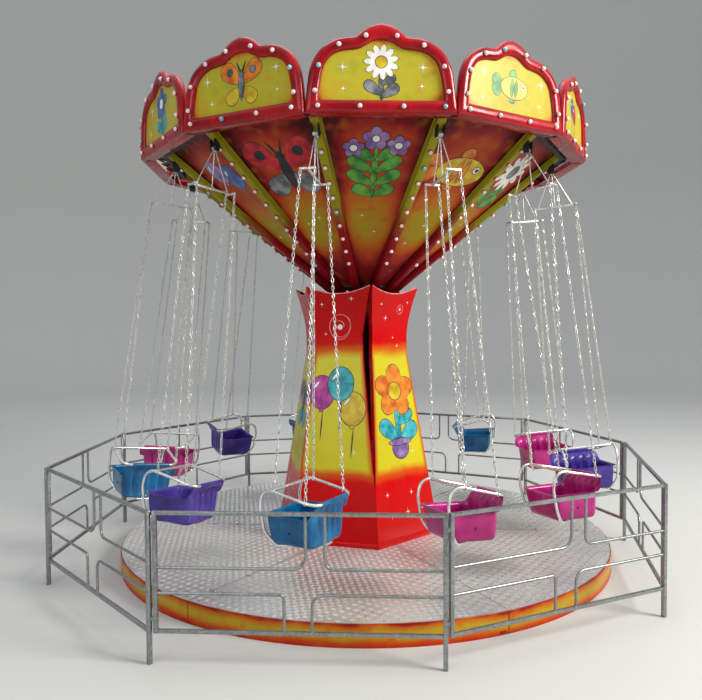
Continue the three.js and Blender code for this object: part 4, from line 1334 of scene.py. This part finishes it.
def bucket():
    """The moulded bucket of one seat: low front and sides, a fluted back rolled over its tube."""
    base = floor_height(-0.12)
    back_top = rail_height(BACK_TUBE_X) - SEAT_TUBE + 0.002

    def above(lift):
        return lambda x: floor_height(x) + lift

    def side_top(drop):
        return lambda x: -0.149 + 0.035 * x - drop

    loops = [
        bucket_ring(0.176, -0.126, 0.172, 0.04, above(0), base),
        bucket_ring(0.194, -0.142, 0.19, 0.048, above(0.004), base + 0.004),
        bucket_ring(0.206, -0.153, 0.201, 0.056, above(0.016), base + 0.016),
        bucket_ring(0.212, -0.158, 0.206, 0.06, above(0.034), base + 0.034, 0.004),
        bucket_ring(0.217, -0.163, 0.211, 0.062, above(0.07), base + 0.075, 0.016),
        bucket_ring(0.222, -0.166, 0.216, 0.062, above(0.11), -0.235, 0.022),
        bucket_ring(0.226, -0.168, 0.22, 0.062, above(0.155), -0.175, 0.022),
        bucket_ring(0.228, -0.17, 0.222, 0.062, side_top(0.016), -0.13, 0.018),
        bucket_ring(0.23, -0.178, 0.225, 0.063, side_top(0.01), -0.1, 0.01),
        bucket_ring(0.238, -0.2, 0.234, 0.066, side_top(0.006), -0.078, 0.0),
        bucket_ring(0.239, -0.2115, 0.2475, 0.068, side_top(0.0), back_top, 0.0),
    ]
    inside = [
        bucket_ring(0.232, -0.206, 0.2405, 0.062, side_top(-0.001), back_top, 0.0),
        bucket_ring(0.226, -0.194, 0.2275, 0.058, side_top(0.004), -0.078, 0.0),
        bucket_ring(0.2235, -0.172, 0.2185, 0.057, side_top(0.012), -0.1, 0.01),
        bucket_ring(0.222, -0.163, 0.216, 0.056, side_top(0.02), -0.13, 0.018),
        bucket_ring(0.22, -0.162, 0.214, 0.056, above(0.155), -0.175, 0.022),
        bucket_ring(0.216, -0.16, 0.21, 0.056, above(0.112), -0.235, 0.022),
        bucket_ring(0.211, -0.157, 0.205, 0.056, above(0.073), base + 0.078, 0.016),
        bucket_ring(0.206, -0.152, 0.2, 0.054, above(0.038), base + 0.038, 0.004),
        bucket_ring(0.194, -0.142, 0.19, 0.046, above(0.016), base + 0.016),
        bucket_ring(0.174, -0.124, 0.17, 0.038, above(0.006), base + 0.006),
    ]
    bm = skin(loops + inside)
    roll_path = [(BACK_TUBE_X, 0.165 - 0.33 * k / 10, rail_height(BACK_TUBE_X)) for k in range(11)]
    roll = bmesh.new()
    roll.from_mesh(tube(roll_path, 0.0165, 4))
    bmesh.ops.remove_doubles(roll, verts=roll.verts, dist=1e-5)
    rims = [e for e in roll.edges if len(e.link_faces) == 2 and e.calc_face_angle(0) > 1.2]
    bmesh.ops.bevel(roll, geom=rims, offset=0.006, segments=3, profile=0.5, affect="EDGES", material=-1)
    bm.from_mesh(as_mesh(roll))
    return as_mesh(bm)


def spreader():
    """The sleeve on the pivot pin, its three hanging rods and the H bar that spreads the chains."""
    bm = bmesh.new()
    bar = -SPREADER_DROP
    sleeve = tube([(-0.02, 0, 0), (0.02, 0, 0)], 0.017)
    bm.from_mesh(sleeve)
    reach = SPREADER_HALF + 0.008
    bm.from_mesh(block((-0.008, -reach, bar - 0.008), (0.008, reach, bar + 0.008), 0.002))
    for side in (-1, 1):
        y = side * SPREADER_HALF
        bm.from_mesh(block((-0.062, y - 0.008, bar - 0.008), (0.062, y + 0.008, bar + 0.008), 0.002))
    for y in (-0.15, 0, 0.15):
        top = (0, math.copysign(0.008, y) if y else 0, -0.013)
        bm.from_mesh(tube([top, (0, y, bar + 0.016)], 0.0048, 1))
        stamp(bm, EYE, Matrix.Translation((0, y, bar + 0.01)) @ Matrix.Scale(0.7, 4))
    return as_mesh(bm)


def seats():
    tubes, shell, top_bar = seat_tubes(), bucket(), spreader()
    for k in range(SEATS):
        azimuth = FIRST_ARM + STEP * k
        pivot = Matrix.Translation(polar(azimuth, PIVOT_RADIUS, PIVOT_HEIGHT))
        hung = pivot @ Matrix.Rotation(math.radians(azimuth + 180), 4, "Z")
        swing = hung @ Matrix.Rotation(math.radians(LEAN[k]), 4, "X")
        tilted = Matrix.Rotation(math.radians(TILT[k]), 4, "X")
        turned = Matrix.Rotation(math.radians(TURN[k]), 4, "Z") @ tilted
        seat = Matrix.Translation((DRIFT[k], 0, -HOOK_DROP)) @ turned
        name = f"seat_{k + 1:02d}"
        bm = bmesh.new()
        stamp(bm, tubes, swing @ seat)
        piece(name + "_tube_frame", bm, [seat_zinc, dark_steel], name,
            [name + "_hanger"], sharp=50)
        bm = bmesh.new()
        stamp(bm, top_bar, swing)
        for end in (-1, 1):
            for side in (-1, 1):
                x = end * HOOK_AHEAD - (0.02 if end > 0 else 0)
                hook = seat @ Vector((x, side * RAIL_HALF, rail_height(x) + 0.014))
                top = Vector((end * 0.055, side * SPREADER_HALF, -SPREADER_DROP - 0.013))
                hang_chain(bm, swing @ top, swing @ hook, draw.uniform(0, 3))
        piece(name + "_chains", bm, [chain_zinc], name, sharp=60)
        bm = bmesh.new()
        stamp(bm, shell, swing @ seat)
        tint = SEAT_COLOURS[k]
        piece(name + "_bucket", bm, [seat_finish[tint]], name, [name + "_shell"], sharp=55)


seats()


# Fence
def fence_panel(length, upper, lower):
    """One panel along X, of square tube, from beside its neighbour's leg to its own, with round
    infill tubes at the upper and lower heights."""
    end, start, half, slim = length, UPRIGHT_INSET, POST_TUBE / 2, RAIL_TUBE / 2
    bm = bmesh.new()
    for x, foot in ((end, 0), (start, RAIL_BOTTOM - slim)):
        bm.from_mesh(block((x - half, -half, foot), (x + half, half, RAIL_TOP + slim), 0.003))
    for height in (RAIL_BOTTOM, RAIL_TOP - 0.0003):
        rail = ((start + half - 0.002, -slim, height - slim), (end - half + 0.002, slim, height + slim))
        bm.from_mesh(block(*rail, 0.003))
    turns_up = [share * length for share in UPPER_TURNS]
    turns_down = [share * length for share in LOWER_TURNS]
    for x0, z0, x1, z1, bend in (
        (start, upper, turns_up[0], RAIL_TOP, 0.085),
        (end, upper, turns_up[1], RAIL_TOP, 0.055),
        (start, lower, turns_down[0], RAIL_BOTTOM, 0.03),
        (end, lower, turns_down[1], RAIL_BOTTOM, 0.075),
    ):
        bm.from_mesh(tube(bent([(x0, 0, z0), (x1, 0, z0), (x1, 0, z1)], [bend]), 0.0105))
    weld = bmesh.new()
    bmesh.ops.create_cone(weld, segments=14, radius1=0.0135, radius2=0.0115, depth=0.005, cap_ends=True)
    weld = as_mesh(weld)
    upside_down = Matrix.Rotation(math.pi, 4, "X")
    for x in turns_up:
        stamp(bm, weld, Matrix.Translation((x, 0, RAIL_TOP - slim - 0.002)) @ upside_down)
    for x in turns_down:
        stamp(bm, weld, Matrix.Translation((x, 0, RAIL_BOTTOM + slim + 0.002)))
    for z in (0.3, 0.9):
        bm.from_mesh(block((half - 0.001, -0.009, z - 0.014), (start, 0.009, z + 0.014), 0.002))
    return bm


def fence():
    posts = [polar(a, r, 0) for a, r in zip(POST_AZIMUTHS, POST_RADII)]
    for k, post in enumerate(posts):
        reach = posts[(k + 1) % len(posts)] - post
        sag = {2: 0.03, 3: 0.012}.get(k, 0.0)
        bm = fence_panel(reach.length, UPPER_BAR - sag, LOWER_BAR - sag / 3)
        place = Matrix.Translation(post) @ Matrix.Rotation(math.atan2(reach.y, reach.x), 4, "Z")
        bmesh.ops.transform(bm, matrix=place, verts=bm.verts)
        solid = f"fence_panel_{k + 1}"
        piece(f"fence_tubes_{k + 1}", bm, [galvanised], "base", [solid])


fence()

# Studio floor: it curves up into a plain wall all round, open above for the light
FLOOR_REACH, COVE, WALL = 27.0, 9.0, 21.0
bend = [math.pi / 24 * k for k in range(13)]
cove = [(FLOOR_REACH - COVE + COVE * math.sin(a), COVE - COVE * math.cos(a)) for a in bend]
bm = spun([(0, 0), *cove, (FLOOR_REACH, WALL)], 64)
bmesh.ops.reverse_faces(bm, faces=bm.faces)
ground = bpy.data.objects.new("studio_floor", as_mesh(bm))
ground.data.polygons.foreach_set("use_smooth", [True] * len(ground.data.polygons))
ground.data.materials.append(floor_finish)
bpy.context.scene.collection.objects.link(ground)
